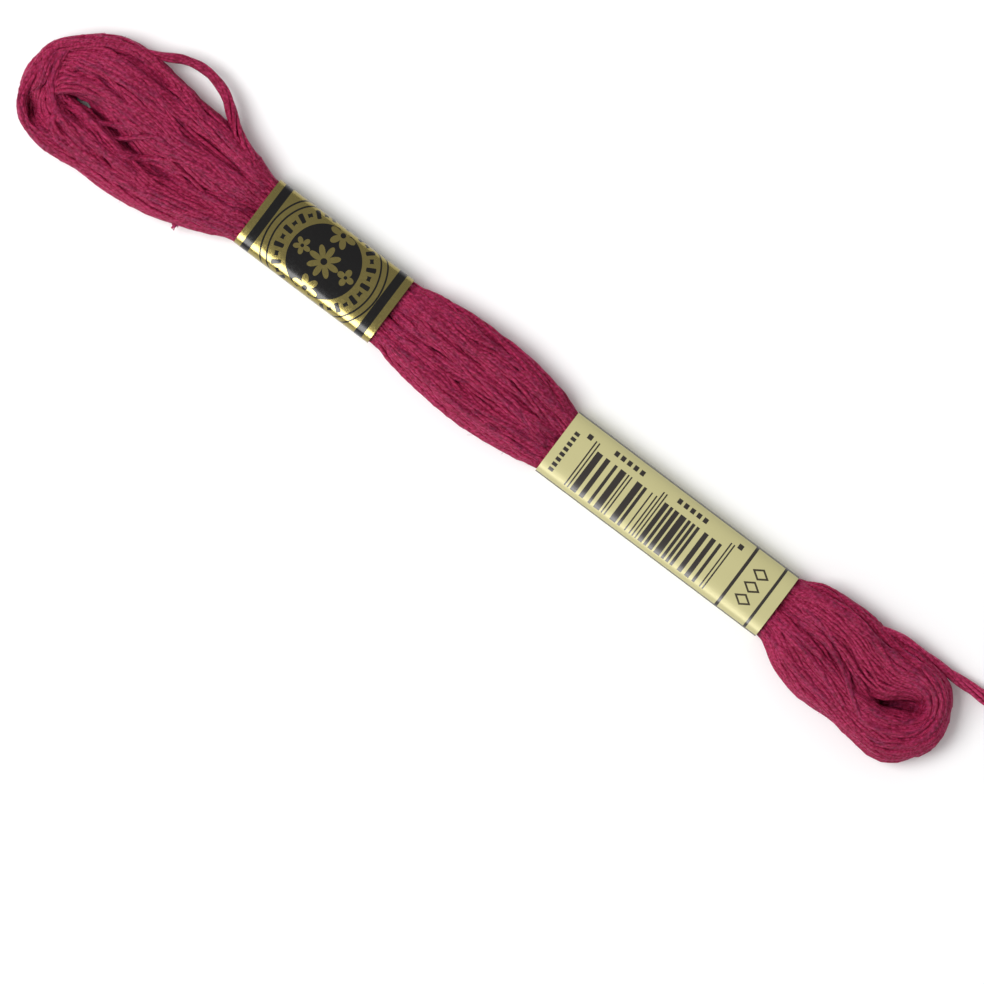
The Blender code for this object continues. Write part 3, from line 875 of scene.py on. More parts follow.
# %% Turns deep down at both ends of the slit
left_turns += bundle(
    [(-70.9, -3.0, 0.8), (-69, -3.1, 1.4), (-65, -3.5, 2.2)], 9, [1.6], [1.0], 12, drape=False,
)
left_turns += bundle(
    [(-76.6, -3.2, 1.8), (-75, -3.2, 1.2), (-73.9, -3.0, 0.7)], 9, [1.6], [1.0], 14, drape=False,
)
print("strands so far:", len(left_turns))

# %% The lower turns of the wide end
LOWER_TURNS = [(-6.4, -1.0), (-3.0, -3.6), (-8.2, -4.6), (-4.9, -2.2), (-9.2, -5.4)]  # start, finish

for number, (start, finish) in enumerate(LOWER_TURNS):
    route = [
        (-61, start, -0.3), (-55.5, 0.7 * start + 0.3 * finish, 0), (-50, 0.4 * start + 0.6 * finish, 0),
        (-45, finish, -0.1), (-41.5, 0.9 * finish, -0.3),
    ]
    left_turns += bundle(route, RIBBON, [2.2, 2.6, 2.0], [0.6], 70 + number)
print("strands so far:", len(left_turns))

# %% Turns round the far tip
left_turns += bundle(
    [(-65, 6.8, 3.5), (-69, 7.3, 4.0), (-73, 6.7, 4.4), (-77.0, 4.4, 4.7), (-79.9, 1.4, 4.8),
     (-80.9, -0.8, 4.6), (-80.6, -3.4, 4.1)],
    16, [0.9, 1.1, 1.8, 2.4, 2.2, 1.6], [1.0, 1.5, 1.9, 1.9, 1.5], 8, drape=False,
)
left_turns += bundle(
    [(-78.6, 1.6, 4.4), (-80.3, -1.8, 4.5), (-80.5, -4.4, 4.6), (-80.2, -7.1, 4.7), (-78.9, -9.1, 4.8),
     (-77.0, -10.4, 4.8), (-74, -10.8, 4.8), (-68, -10.3, 4.8), (-62, -9.8, 4.3), (-55, -8.8, 3.6)],
    24, [1.0, 2.3, 1.3, 1.6, 2.4, 2.5, 2.1, 1.6], [1.2, 1.8, 1.7, 1.9, 1.6, 1.0], 9, drape=False,
)
print("strands so far:", len(left_turns))

# %% The turns that cross over the tip
left_turns += bundle(
    [(-78.4, 3.6, -0.3), (-78.9, 1.6, 0), (-78.8, -0.4, 0), (-78.3, -2.4, 0), (-77.3, -4.2, 0),
     (-75.6, -5.7, 0), (-73.0, -6.9, 0), (-69.5, -7.8, 0), (-65.5, -8.2, -0.3)],
    22, [1.2, 2.0, 2.2, 1.8, 1.8, 2.2, 2.4, 1.8], [0.8], 17,
)
left_turns += bundle(
    [(-79.6, 2.0, -0.2), (-80.2, 0.4, 0), (-79.9, -1.4, 0.1), (-79.2, -3.2, 0.2), (-78.9, -4.8, 0.2),
     (-79.0, -6.1, 0.1), (-79.2, -7.4, -0.3)],
    20, [1.6, 2.4, 3.2, 3.4, 3.0, 2.0], [0.9], 10,
)
left_turns += bundle(
    [(-77.2, -9.5, -0.4), (-75.4, -9.7, 0), (-72.0, -9.6, 0), (-66.0, -9.2, -0.3)],
    9, [1.2, 1.6, 1.6], [0.6], 15,
)
thread_piece("hank_left_turns", left_turns)

# %% [markdown]
# ## The tuft
#
# Below the wide end a few cut fibres of the floss stick out of the side, as a soft tuft. A hair system would
# make it, but it needs its own shading and exports badly. Thirty short, thin threads from one spot do.

# %% The tuft
NUB = (-51.2, -8.5, 2.6)
NUB_HEADING = (0.1, -1.0, 0.05)
NUB_THREADS, NUB_THREAD, NUB_POINTS = 30, 0.17, 5
NUB_SHORTEST, NUB_LONGEST = 0.7, 1.05
NUB_ROOTS, NUB_FAN, NUB_CURL = 0.26, 0.16, 0.14  # how far roots, headings and bends differ
nub_rng = np.random.default_rng(3)

nub = []
for _ in range(NUB_THREADS):
    run = np.linspace(0, nub_rng.uniform(NUB_SHORTEST, NUB_LONGEST), NUB_POINTS)[:, None]
    root = NUB + nub_rng.normal(0, NUB_ROOTS, 3)
    straight = root + run * (NUB_HEADING + nub_rng.normal(0, NUB_FAN, 3))
    nub.append(straight + run**2 * nub_rng.normal(0, NUB_CURL, 3))
thread_piece("hank_nub", nub, thickness=NUB_THREAD, sides=4)

# %% [markdown]
# ## The stray turn
#
# One turn has worked loose and stands out from the upper side as a flat arch. It is a turn like the others,
# so it is made as the loose end is: six strands round a route. They lie closest on the way up, and part where
# the arch comes down again.

# %% The stray turn
ARCH_ROUTE = [
    (-74.5, 5.4, 4.2), (-72, 6.9, 4.2), (-69, 8.2, 4.0), (-66.7, 9.45, 3.7), (-64.4, 10.75, 3.4),
    (-62, 11.3, 3.2), (-59.5, 11.3, 3.1), (-57.3, 10.7, 3.2), (-55.5, 9.7, 3.4), (-53.5, 8.2, 3.8),
    (-51.2, 6.6, 4.2), (-47.5, 5.1, 4.3),
]
ARCH_SPREAD = [0.6, 0.58, 0.46, 0.38, 0.39, 0.44, 0.62, 0.72, 0.8]
ARCH_PITCH = 22
ARCH_FLATNESS = 0.9

thread_piece("hank_stray_turn", laid_strands(ARCH_ROUTE, ARCH_PITCH, ARCH_SPREAD, ARCH_FLATNESS))

# %% [markdown]
# ## The belly
#
# Between the bands the turns are free and swell into a belly. They cross it aslant, some from the upper side
# to the lower and some back, and that is what the eye reads as wound yarn. A dozen ribbons of nine strands
# fan out from one band, swing out in the middle and come together under the other.

# %% The belly
BELLY_STARTS = [3.4, -3.9, 1.6, -1.0, 4.0, -2.6, 0.4, 2.6, -4.4, -0.2, -1.8, 1.0]
BELLY_FINISHES = [1.2, -3.0, 2.9, -2.4, 3.0, -0.6, -1.4, 0.2, -4.6, -0.8, -0.2, -1.9]
BELLY_MIDDLE, BELLY_SWELL = -0.5, 1.25

middle_turns = []
for number, (start, finish) in enumerate(zip(BELLY_STARTS, BELLY_FINISHES)):
    centre = BELLY_MIDDLE + BELLY_SWELL * ((start + finish) / 2 - BELLY_MIDDLE)
    route = [
        (-20, 0.9 * start, -0.3), (-16, start, -0.1), (-10, (start + centre) / 2, 0), (-2, centre, 0),
        (5, (finish + centre) / 2, 0), (10, finish, -0.1), (13.8, 0.85 * finish, -0.3),
    ]
    middle_turns += bundle(route, RIBBON, [1.8, 2.4, 2.8, 2.4, 1.8], [0.6], 20 + number)
middle_turns += bundle(
    [(-21.5, -0.5, -0.5), (-17.6, -0.4, 0.1), (-14.5, -0.6, 0), (-10, -1.0, -0.3)], 9, [1.8], [0.7], 39,
)
print("strands over the belly:", len(middle_turns))

# %% [markdown]
# ## The narrow end
#
# Here the turns come out of the long band, slant down across the lower leg and turn back round a small eye.
# The rows are in the order in which the ribbons lie: first those along the legs, then those that slant over
# them, and last the three that close the eye. A wide, low bundle shows in the eye from below.

# %% Ribbons of the narrow end
RIBBON_START = 0.8  # they come out of the band narrower than they grow, by this share
RIBBONS = [  # route, strands, width
    ([(50, 3.0, -0.3), (54, 3.8, -0.1), (60, 4.3, 0), (66, 4.0, 0), (71, 3.6, 0), (76, 4.2, -0.3)], 9, 2.4),
    ([(50, -4.2, -0.3), (54, -5.0, -0.1), (59, -6.4, 0), (64, -7.2, 0), (70, -7.6, -0.3)], 9, 2.4),
    ([(50, 0.6, -0.3), (54, 0.4, -0.1), (60, -0.2, 0), (65, -1.7, 0), (70.6, -3.2, -0.3)], 10, 2.4),
    ([(50, -1.8, -0.3), (54, -2.2, -0.1), (60, -2.6, 0), (65, -3.9, 0), (71.5, -5.2, -0.3)], 9, 2.2),
    ([(50, 2.0, -0.4), (58, 1.0, -0.1), (64, -0.9, 0), (68.5, -2.7, 0), (71.8, -3.2, -0.2)], 11, 2.8),
    ([(50, -2.6, -0.4), (56, -3.0, 0), (61, -4.2, 0), (66, -5.9, 0), (71, -7.6, -0.3)], 9, 1.8),
    ([(50, -0.4, -0.4), (57.5, -0.7, 0), (61, -0.8, 0.2), (64.6, -2.3, 0.35), (68.9, -5.2, 0.2),
      (73, -7.4, -0.3)], 9, 1.9),
    ([(60, 3.6, -0.4), (66, 3.4, -0.1), (71, 2.2, 0), (75, 3.0, 0), (79, 2.0, -0.3)], 9, 2.0),
    ([(65, -3.6, -0.3), (69.0, -4.4, 0), (71.6, -4.5, 0), (75.0, -3.6, -0.2)], 8, 1.8),
    ([(68, 4.6, -0.3), (72, 4.9, 0), (76.5, 4.3, 0), (79.6, 1.8, 0), (80.4, -1.6, 0), (79, -5, 0),
      (75.5, -7.6, 0), (70, -8.0, -0.3)], 9, 1.8),
    ([(70, 3.0, -0.3), (74, 3.6, 0), (77.4, 2.9, 0), (79.2, 0.6, 0), (79.0, -2.4, 0), (76.6, -5.0, 0),
      (73, -6.4, 0), (68, -6.6, -0.3)], 9, 1.8),
    ([(71.5, 1.2, -0.3), (75.0, 2.4, 0), (77.7, 1.6, 0), (78.4, -0.4, 0), (77.2, -2.6, 0), (73.8, -4.4, 0),
      (69.5, -5.2, -0.3)], 8, 1.5),
]

for number, (route, strands, wide) in enumerate(RIBBONS):
    middle_turns += bundle(route, strands, [RIBBON_START * wide, wide, wide], [0.6], 40 + number)
print("strands so far:", len(middle_turns))

# %% The turns under the eye
middle_turns += bundle(
    [(69, -4.3, 0.6), (71.8, -3.1, 0.5), (74.2, -1.6, 0.5), (77.0, -0.1, 0.6), (80.0, 0.7, 1.0)],
    30, [3.6, 4.0, 4.6, 4.4], [1.1], 50, drape=False,
)
thread_piece("hank_middle_turns", middle_turns)

# %% [markdown]
# ## Loose fibres
#
# Mercerised cotton is singed, so it has little fuzz, but a few hundred short fibres stand off a handled
# skein and soften its edge. A hair system would need its own shading. We draw points on the visible strands
# and let a thin, bent thread stand on each. A real fibre is 0.02 mm thick, and these are 0.03 mm, to show.

# %% Where fibres stand
FIBRES = 500
BAND_MARGIN = 0.5
SHOWN_DEPTH = 0.9  # strands further than this below the top don't show
ANYWHERE = 0.05  # the share of the hidden points that may have a fibre too

all_points = strand_points.reshape(-1, 3)
shown = np.array([
    not any(a - BAND_MARGIN < x < b + BAND_MARGIN for a, b in BAND_SPANS) for x in all_points[:, 0]
])
high = all_points[:, 2] > evened_map(heights)[cells_of(all_points[:, :2])] - SHOWN_DEPTH
roots = all_points[shown & (high | (rng.random(len(all_points)) < ANYWHERE))]
roots = roots[rng.choice(len(roots), FIBRES)]
print(len(roots), "roots")

# %% Loose fibres
FIBRE, FIBRE_POINTS = 0.03, 6
FIBRE_SHORTEST, FIBRE_LONGEST = 0.4, 1.3
FIBRE_LIFT = [0, 0, 0.4]  # they point up more often than down
FIBRE_BEND = 0.35  # 1/mm

fibres = []
for root in roots:
    heading = rng.normal(0, 1, 3) + FIBRE_LIFT
    bend = rng.normal(0, 1, 3)
    run = np.linspace(0, rng.uniform(FIBRE_SHORTEST, FIBRE_LONGEST), FIBRE_POINTS)[:, None]
    straight = root + run * heading / np.linalg.norm(heading)
    fibre = straight + FIBRE_BEND * run**2 * bend / np.linalg.norm(bend)
    fibre[:, 2] = np.maximum(fibre[:, 2], FIBRE)
    fibres.append(fibre)
thread_piece("hank_loose_fibres", fibres, thickness=FIBRE, sides=4)

# %% [markdown]
# ## Colours and nodes
#
# A material in Blender is a tree of nodes that ends in a shader. It can be drawn by hand in the editor, but
# in a script its numbers can be read, and given in millimetres. Colours are written as sRGB hex, as a colour
# picker shows them, and turned into the linear numbers that a shader takes. One helper adds a node, and one
# gives a node its inputs.

# %% Colours as a shader takes them
def linear(colour):
    """A colour written as sRGB hex, such as "96244c", as the linear numbers that a shader takes."""
    parts = [int(colour[k:k + 2], 16) / 255 for k in (0, 2, 4)]
    return tuple(c / 12.92 if c <= 0.04045 else ((c + 0.055) / 1.055) ** 2.4 for c in parts)


print("half grey is", round(linear("808080")[0], 3))

# %% Materials and their nodes
def new_material(name):
    """A new material, with its tree of nodes and its shader."""
    made = bpy.data.materials.new(name)
    made.use_nodes = True
    return made, made.node_tree, made.node_tree.nodes["Principled BSDF"]


def give(tree, made, inputs):
    """Gives a node its inputs, by number or name: a value, a hex colour, or an output of another node."""
    for key, value in inputs.items():
        if isinstance(value, bpy.types.NodeSocket):
            tree.links.new(value, made.inputs[key])
        else:
            made.inputs[key].default_value = (*linear(value), 1) if isinstance(value, str) else value


def node(tree, kind, inputs=(), out=0, **settings):
    """Adds a node and gives back one of its outputs. inputs are a list in the node's own order, or named."""
    made = tree.nodes.new("ShaderNode" + kind)
    for key, value in settings.items():
        setattr(made, key, value)
    give(tree, made, inputs if isinstance(inputs, dict) else dict(enumerate(inputs)))
    return made.outputs[out]


operations = bpy.types.ShaderNodeMath.bl_rna.properties["operation"].enum_items
print("a Math node knows", len(operations), "operations")

# %% [markdown]
# ## Mercerised cotton
#
# Mercerised cotton is yarn swollen in lye under tension, which gives it a soft shine and takes dye deeply. A
# strand is two plies twisted together, so its fibres lie aslant, and light catches them as short flecks. A
# photograph of yarn could be wrapped round the threads, but it would repeat and blur. The plies pass a place
# every 0.8 mm along a strand, and their helix comes from the UV map, as a bump and as a painted highlight:
# the colour is lighter on the crests of the plies and in short glints, painted in to stand for that shine.

# %% The twist of the plies
PLY_REPEAT = 0.8
PLIES = 2
WAVER, WAVER_SIZE = 1.6, 1 / 0.42  # how far the twist runs ahead or behind, in turns, and over how many mm


def ply_twist(tree, where):
    """How high the plies stand at each place of a thread, from 0 between them to 1 on top of them."""
    along = node(tree, "SeparateXYZ", [node(tree, "UVMap", uv_map="UVMap")])
    round_it = along.node.outputs["Y"]
    uneven = node(tree, "TexNoise", {"Vector": where, "Scale": 1 / (WAVER_SIZE * MM), "Detail": 1.0})
    helix = node(tree, "Math", [along, PLY_REPEAT], operation="DIVIDE")
    helix = node(tree, "Math", [round_it, float(PLIES), helix], operation="MULTIPLY_ADD")
    helix = node(tree, "Math", [uneven, WAVER, helix], operation="MULTIPLY_ADD")
    helix = node(tree, "Math", [helix, 2 * math.pi], operation="MULTIPLY")
    wave = node(tree, "Math", [helix], operation="SINE")
    return node(tree, "Math", [wave, 0.5, 0.5], operation="MULTIPLY_ADD")


print("the plies pass every", PLY_REPEAT, "mm")

# %% Painted highlights along the twist
PAINTED_GLINT_SIZE = 1 / 2.3  # mm of a painted glint, drawn coarser: the fibres are 0.02 mm thick, which is too fine to show
PAINTED_GLINT_RANGE = (0.32, 0.68)  # sharper than the soft noise it comes from
DYE_SIZE = 1 / 0.15  # mm, over which the dye changes slowly
# shares of the painted highlight on the plies, of the dye's own change, and of the painted glints
FROM_PAINTED_PLY_SHINE, FROM_DYE, FROM_PAINTED_GLINTS = 0.7, 0.5, 0.55
BRIGHT_RANGE = (0.25, 1.15)


def painted_shine_and_dye(tree, where, ply):
    """Share of the lighter colour: painted highlights on plies and glints, and slow changes of the dye."""
    painted_glint = node(tree, "TexNoise", {"Vector": where, "Scale": 1 / (PAINTED_GLINT_SIZE * MM), "Detail": 2.0})
    painted_glint = node(tree, "MapRange", [painted_glint, *PAINTED_GLINT_RANGE])
    dye = node(tree, "TexNoise", {"Vector": where, "Scale": 1 / (DYE_SIZE * MM), "Detail": 1.0})
    share = node(tree, "Math", [dye, FROM_DYE], operation="MULTIPLY")
    painted_ply_shine = node(tree, "Math", [ply, painted_glint], operation="MULTIPLY")
    share = node(tree, "Math", [painted_ply_shine, FROM_PAINTED_PLY_SHINE, share], operation="MULTIPLY_ADD")
    share = node(tree, "Math", [painted_glint, FROM_PAINTED_GLINTS, share], operation="MULTIPLY_ADD")
    return node(tree, "MapRange", [share, *BRIGHT_RANGE])


print(f"a fleck is {PAINTED_GLINT_SIZE:.2f} mm, the dye changes over {DYE_SIZE:.1f} mm")

# %% Cotton
PLY_BUMP, PLY_HEIGHT = 0.45, 0.06
SHINE = "ffcbda"  # dyed yarn tints what it reflects


def cotton_material(name, deep, bright):
    """Dyed two-ply yarn. Its fibres scatter light inside, so shadows between strands glow a little."""
    made, tree, shader = new_material(name)
    where = node(tree, "TexCoord", out="Object")
    ply = ply_twist(tree, where)
    share = painted_shine_and_dye(tree, where, ply)
    give(tree, shader, {
        # the lighter colour is partly the dye's own change and partly painted highlights on plies and glints
        "Base Color": node(tree, "Mix", {0: share, 6: deep, 7: bright}, out=2, data_type="RGBA"),
        "Normal": node(tree, "Bump", {"Height": ply, "Strength": PLY_BUMP, "Distance": PLY_HEIGHT * MM}),
        "Roughness": 0.55,  # raw cotton is about 0.8, and mercerising makes it smoother
        "Specular IOR Level": 0.15,  # of the shader's IOR of 1.5, near cotton's: open yarn shines less
        "Specular Tint": SHINE,
        "Subsurface Weight": 0.7,
        "Subsurface Radius": (1.0, 0.8, 0.85),
        "Subsurface Scale": 0.4 * MM,
    })
    return made


cotton = cotton_material("mercerised_cotton_dyed", "7a1333", "aa2f59")
painted_lighter_cotton = cotton_material("mercerised_cotton_painted_lighter", "86193b", "bb3a67")  # the same dye, painted lighter to stand for the more light that falls on the loose end
print("two cottons:", cotton.name, painted_lighter_cotton.name)

# %% The threads are dyed
dyed = [piece for piece in bpy.data.objects if piece.name.startswith(("hank_", "loose_end_strands"))]
for piece in dyed:
    # the loose end takes the copy painted lighter, for the light it gets
    piece.data.materials.append(painted_lighter_cotton if piece == loose else cotton)
print(len(dyed), "pieces of cotton")

# %% [markdown]
# ## The paper bands
#
# A band is a strip of printed paper, pasted into a sleeve with the overlap underneath. A cloth modifier could
# wrap it round the skein, but paper hardly gives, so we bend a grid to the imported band's own section. Its UV
# map holds millimetres: along the skein, and round the sleeve from the middle of the top. So the prints are
# measured as on the flat strip.

# %% The section of a sleeve
BAND_SQUARENESS = 3.4
OUTLINE_STEPS = 2880
SLEEVE_INSET = [0, 0.05, 0.2]  # how far the paper stays inside its room, on each side
SLEEVE_RAISE = [0, 0, 0.1]  # and how far above the middle of that room it lies


def sleeve_outline(half):
    """Points round the section, from the middle of the underside, and how far round each is from the top."""
    way = np.linspace(-math.pi, math.pi, OUTLINE_STEPS + 1)
    power = 2 / BAND_SQUARENESS
    ys = half[1] * np.sign(np.sin(way)) * np.abs(np.sin(way)) ** power
    zs = half[2] * np.sign(np.cos(way)) * np.abs(np.cos(way)) ** power
    run = np.concatenate([[0], np.cumsum(np.hypot(np.diff(ys), np.diff(zs)))])
    return ys, zs, run - run[-1] / 2


for cad_node in ("band_foil", "band_cream"):
    low, high = (np.array(corner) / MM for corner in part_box(cad_node))
    outline = sleeve_outline((high - low) / 2 - SLEEVE_INSET)
    print(f"{cad_node}: {high[0] - low[0]:.1f} mm long, {2 * outline[2][-1]:.1f} mm round")

# %% The strip, and how it wraps round
PAPER = 0.12
OVERLAP = 2.0
FLAP_SLOPE, FLAP_LIFT = 1.5, 1.3  # mm in which the flap climbs, and by how many papers
WAVE, WAVE_ALONG, WAVE_ROUND = 0.05, 3.1, 1.3  # paper is never quite flat: mm, mm a radian, radians round


def grid_lines(first, last, inset, step, breaks):
    """Where the strip has lines: its edges, even steps between them, and the edges of its prints."""
    return np.unique(np.round([first, last, *breaks, *np.arange(first + inset, last - inset, step)], 3))


def wrapped(xs, vs, centre, half):
    """Points of the strip, at each line along it and round it, when it is wrapped round the skein."""
    ys, zs, run = sleeve_outline(half)
    reach = run[-1]
    flap = FLAP_LIFT * PAPER * np.clip((vs - reach + FLAP_SLOPE) / FLAP_SLOPE, 0, 1)
    round_it = np.where(vs > reach, vs - 2 * reach, vs)
    y, z = np.interp(round_it, run, ys), np.interp(round_it, run, zs)
    out = 1 + flap / half[2]
    wave = WAVE * np.sin(xs[:, None] / WAVE_ALONG + WAVE_ROUND * vs[None] / reach)
    wave = wave * np.clip(z / half[2], 0, 1)
    spots = np.broadcast_arrays(xs[:, None], centre[1] + y * out, centre[2] + z * out + wave)
    return np.stack(spots, axis=-1)


print("the flap climbs", round(FLAP_LIFT * PAPER, 2), "mm over the other edge")

# %% The strip as a mesh
def sleeve_mesh(name, xs, vs, points):
    """The strip as a mesh. Gives it with the middle of each face on the flat strip."""
    bm = bmesh.new()
    uv = bm.loops.layers.uv.new("UVMap")
    for vert, row, column in shaped_grid(bm, points):
        for corner in vert.link_loops:
            corner[uv].uv = (xs[row], vs[column])
    for edge in bm.edges:
        edge.smooth = not edge.is_boundary
    on_strip = np.array([np.mean([corner[uv].uv for corner in face.loops], axis=0) for face in bm.faces])
    mesh = bpy.data.meshes.new(name)
    bm.to_mesh(mesh)
    bm.free()
    mesh.shade_smooth()
    return mesh, on_strip


print("the UV map of a sleeve holds millimetres of the flat strip")

# %% Sleeves
TRIM = 0.35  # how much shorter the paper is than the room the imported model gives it, at each end
STEPS = 1.6, 0.35  # the grid's, along and round
STEP_INSETS = 0.15, 0.1  # where its first steps lie


def sleeve(name, cad_node, prints=()):
    """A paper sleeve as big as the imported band, with a grid line at each edge of its prints."""
    low, high = (np.array(corner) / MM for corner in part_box(cad_node))
    centre, half = (low + high) / 2 + SLEEVE_RAISE, (high - low) / 2 - SLEEVE_INSET
    reach = sleeve_outline(half)[2][-1]
    across = [x for row in prints for x in row[:2]]
    around = [v for row in prints for v in row[2:]]
    xs = grid_lines(low[0] + TRIM, high[0] - TRIM, STEP_INSETS[0], STEPS[0], across)
    vs = grid_lines(-reach, reach + OVERLAP, STEP_INSETS[1], STEPS[1], around)
    mesh, on_strip = sleeve_mesh(name, xs, vs, wrapped(xs, vs, centre, half))
    piece = as_piece(name, mesh)
    thick = piece.modifiers.new("paper", "SOLIDIFY")
    thick.thickness = PAPER * MM
    thick.offset = -1
    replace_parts(piece, cad_node)
    return piece, on_strip


foil_band, _ = sleeve("foil_band_sleeve", "band_foil")

# %% [markdown]
# ## Gold foil and black print
#
# The short band is foil-coated paper: a skin of metal, with a clear varnish over black printing. The print
# is a black disc with gilt flowers, fine rings, ticks and two bars. They could be faces of their own, but
# their curves are round and fine. So the node tree draws them, from the distance and the direction of each
# point on the strip.

# %% Places on the strip
def place_on_strip(tree):
    """The two measures of a sleeve's UV map, along and round, in millimetres."""
    along = node(tree, "SeparateXYZ", [node(tree, "UVMap", uv_map="UVMap")])
    return along, along.node.outputs["Y"]


def far_from(tree, x, y, centre):
    """How far each place on the strip is from a centre, and in which direction."""
    across = node(tree, "Math", [x, centre[0]], operation="SUBTRACT")
    down = node(tree, "Math", [y, centre[1]], operation="SUBTRACT")
    square = node(tree, "Math", [down, down], operation="MULTIPLY")
    square = node(tree, "Math", [across, across, square], operation="MULTIPLY_ADD")
    far = node(tree, "Math", [square], operation="SQRT")
    return far, node(tree, "Math", [down, across], operation="ARCTAN2")


marks = np.array([corner.uv for corner in foil_band.data.uv_layers[0].data])
print("the foil strip runs from", marks.min(axis=0).round(1), "to", marks.max(axis=0).round(1), "mm")

# %% The disc with its flowers
DISC = (-30.6, -0.1)
DISC_RADIUS = 5.55
FLOWERS = [  # place from the disc's middle, size, and half the number of petals
    (0, 0, 2.5, 4), (0, 4.75, 2.1, 3), (0, -4.75, 2.1, 3), (-3.9, 0, 1.35, 2.5), (3.9, 0, 1.35, 2),
]
PETAL, HEART = 0.62, 0.2  # how deep the petals are cut, and the black heart, as shares of the size


def flower(tree, x, y, centre, size, half_petals):
    """The gilt share of one flower."""
    way, bearing = far_from(tree, x, y, centre)
    lobe = node(tree, "Math", [bearing, float(half_petals)], operation="MULTIPLY")
    lobe = node(tree, "Math", [node(tree, "Math", [lobe], operation="COSINE")], operation="ABSOLUTE")
    edge = node(tree, "Math", [lobe, size * PETAL, size * (1 - PETAL)], operation="MULTIPLY_ADD")
    inside = node(tree, "Math", [way, edge], operation="LESS_THAN")
    past_heart = node(tree, "Math", [way, size * HEART], operation="GREATER_THAN")
    return node(tree, "Math", [inside, past_heart], operation="MULTIPLY")


def disc_with_flowers(tree, x, y, far):
    """The black share of the disc, with the flowers left gilt."""
    black = node(tree, "Math", [far, DISC_RADIUS], operation="LESS_THAN")
    for across, down, size, half_petals in FLOWERS:
        gilt = flower(tree, x, y, (DISC[0] + across, DISC[1] + down), size, half_petals)
        black = node(tree, "Math", [black, gilt], operation="SUBTRACT")
    return node(tree, "Math", [black, 0.0], operation="MAXIMUM")


print(len(FLOWERS), "flowers")

# %% Rings, bars and ticks
RINGS, RING_HALF = (8.35, 9.35), 0.13
STRIPES, STRIPE_HALF = (-41.0, -20.4), 0.68
TICKS, TICK_HALF = 34, 0.27  # ticks round the disc, and half a tick's width as a share of its space
TICK_RADIUS, TICK_TALL, TICK_CHANGE = 6.95, 0.5, 0.25  # every other tick is taller


def ring_of_ticks(tree, far, angle):
    """The black share of the ticks that stand round the disc."""
    space = node(tree, "Math", [angle, TICKS / (2 * math.pi)], operation="MULTIPLY")
    space = node(tree, "Math", [space], operation="FRACT")
    tick = node(tree, "Math", [space, 0.5, TICK_HALF], operation="COMPARE")
    tall = node(tree, "Math", [angle, TICKS / 2], operation="MULTIPLY")
    tall = node(tree, "Math", [tall], operation="SINE")
    tall = node(tree, "Math", [tall, TICK_CHANGE, TICK_TALL], operation="MULTIPLY_ADD")
    off = node(tree, "Math", [far, TICK_RADIUS], operation="SUBTRACT")
    off = node(tree, "Math", [off], operation="ABSOLUTE")
    ring = node(tree, "Math", [off, tall], operation="LESS_THAN")
    return node(tree, "Math", [tick, ring], operation="MULTIPLY")


def foil_print(tree):
    """The black share of the whole print."""
    x, y = place_on_strip(tree)
    far, angle = far_from(tree, x, y, DISC)
    black = disc_with_flowers(tree, x, y, far)
    lines = [(far, radius, RING_HALF) for radius in RINGS] + [(x, stripe, STRIPE_HALF) for stripe in STRIPES]
    for measure, place, half in lines:
        line = node(tree, "Math", [measure, place, half], operation="COMPARE")
        black = node(tree, "Math", [black, line], operation="MAXIMUM")
    return node(tree, "Math", [black, ring_of_ticks(tree, far, angle)], operation="MAXIMUM")


print(TICKS, "ticks")

# %% Gold foil
FOIL_GRAIN, FOIL_HEIGHT = 0.4, 0.03  # mm, drawn coarser: the paper's fibres are too fine to show
FOIL_ROUGH, FOIL_ROUGHER = 0.14, 0.22


def foil_material(name, gold, ink):
    """Metal foil under ink and varnish. It mirrors the lights, a little broken by the paper under it."""
    made, tree, shader = new_material(name)
    where = node(tree, "TexCoord", out="Object")
    grain = node(tree, "TexNoise", {"Vector": where, "Scale": 1 / (FOIL_GRAIN * MM)})
    black = foil_print(tree)
    give(tree, shader, {
        "Base Color": node(tree, "Mix", {0: black, 6: gold, 7: ink}, out=2, data_type="RGBA"),
        "Metallic": node(tree, "Math", [1.0, black], operation="SUBTRACT"),
        "Roughness": node(tree, "Math", [grain, FOIL_ROUGHER, FOIL_ROUGH], operation="MULTIPLY_ADD"),
        "Normal": node(tree, "Bump", {"Height": grain, "Strength": 0.25, "Distance": FOIL_HEIGHT * MM}),
        "Specular IOR Level": 0.3,  # of the ink, which is duller than the foil
        "Coat Weight": 0.22,  # a thin varnish
        "Coat Roughness": 0.15,
    })
    return made


foil_band.data.materials.append(foil_material("gold_foil_paper", "958851", "060404"))
print("the foil band is", foil_band.data.materials[0].name)

# %% [markdown]
# ## Cream paper and its bars
#
# The long band is coated paper with black printing: made-up bars of random widths, rows of small squares,
# lines, and a column of lozenges. A dark line along each long edge is painted shade, where the paper curves
# away from the light. Bars and squares could come from nodes, as on the foil. But they have straight edges,
# so here the faces between the grid lines take the ink's colour, which keeps each edge sharp however near
# one looks. Only the lozenges are drawn by nodes.

# %% Made-up bars
MODULE = 0.265  # the narrowest bar
BARS_FROM, BARS_LONG = 16.4, 95  # the bars start here and are this many modules long
BARS_ROUND, GUARDS_ROUND = (-4.55, 2.3), (-4.55, 3.4)
BAR_WIDTHS, GAP_WIDTHS = [1, 1, 2, 2, 3, 4], [1, 1, 1, 2, 3]
GUARDS, NARROW = (0, 2, 46, 48, 92, 94), (90,)  # the longer bars, and one that leaves them room
INK_SHRINK = 0.15  # a bar ends this share of a module early
print_rng = np.random.default_rng(7)


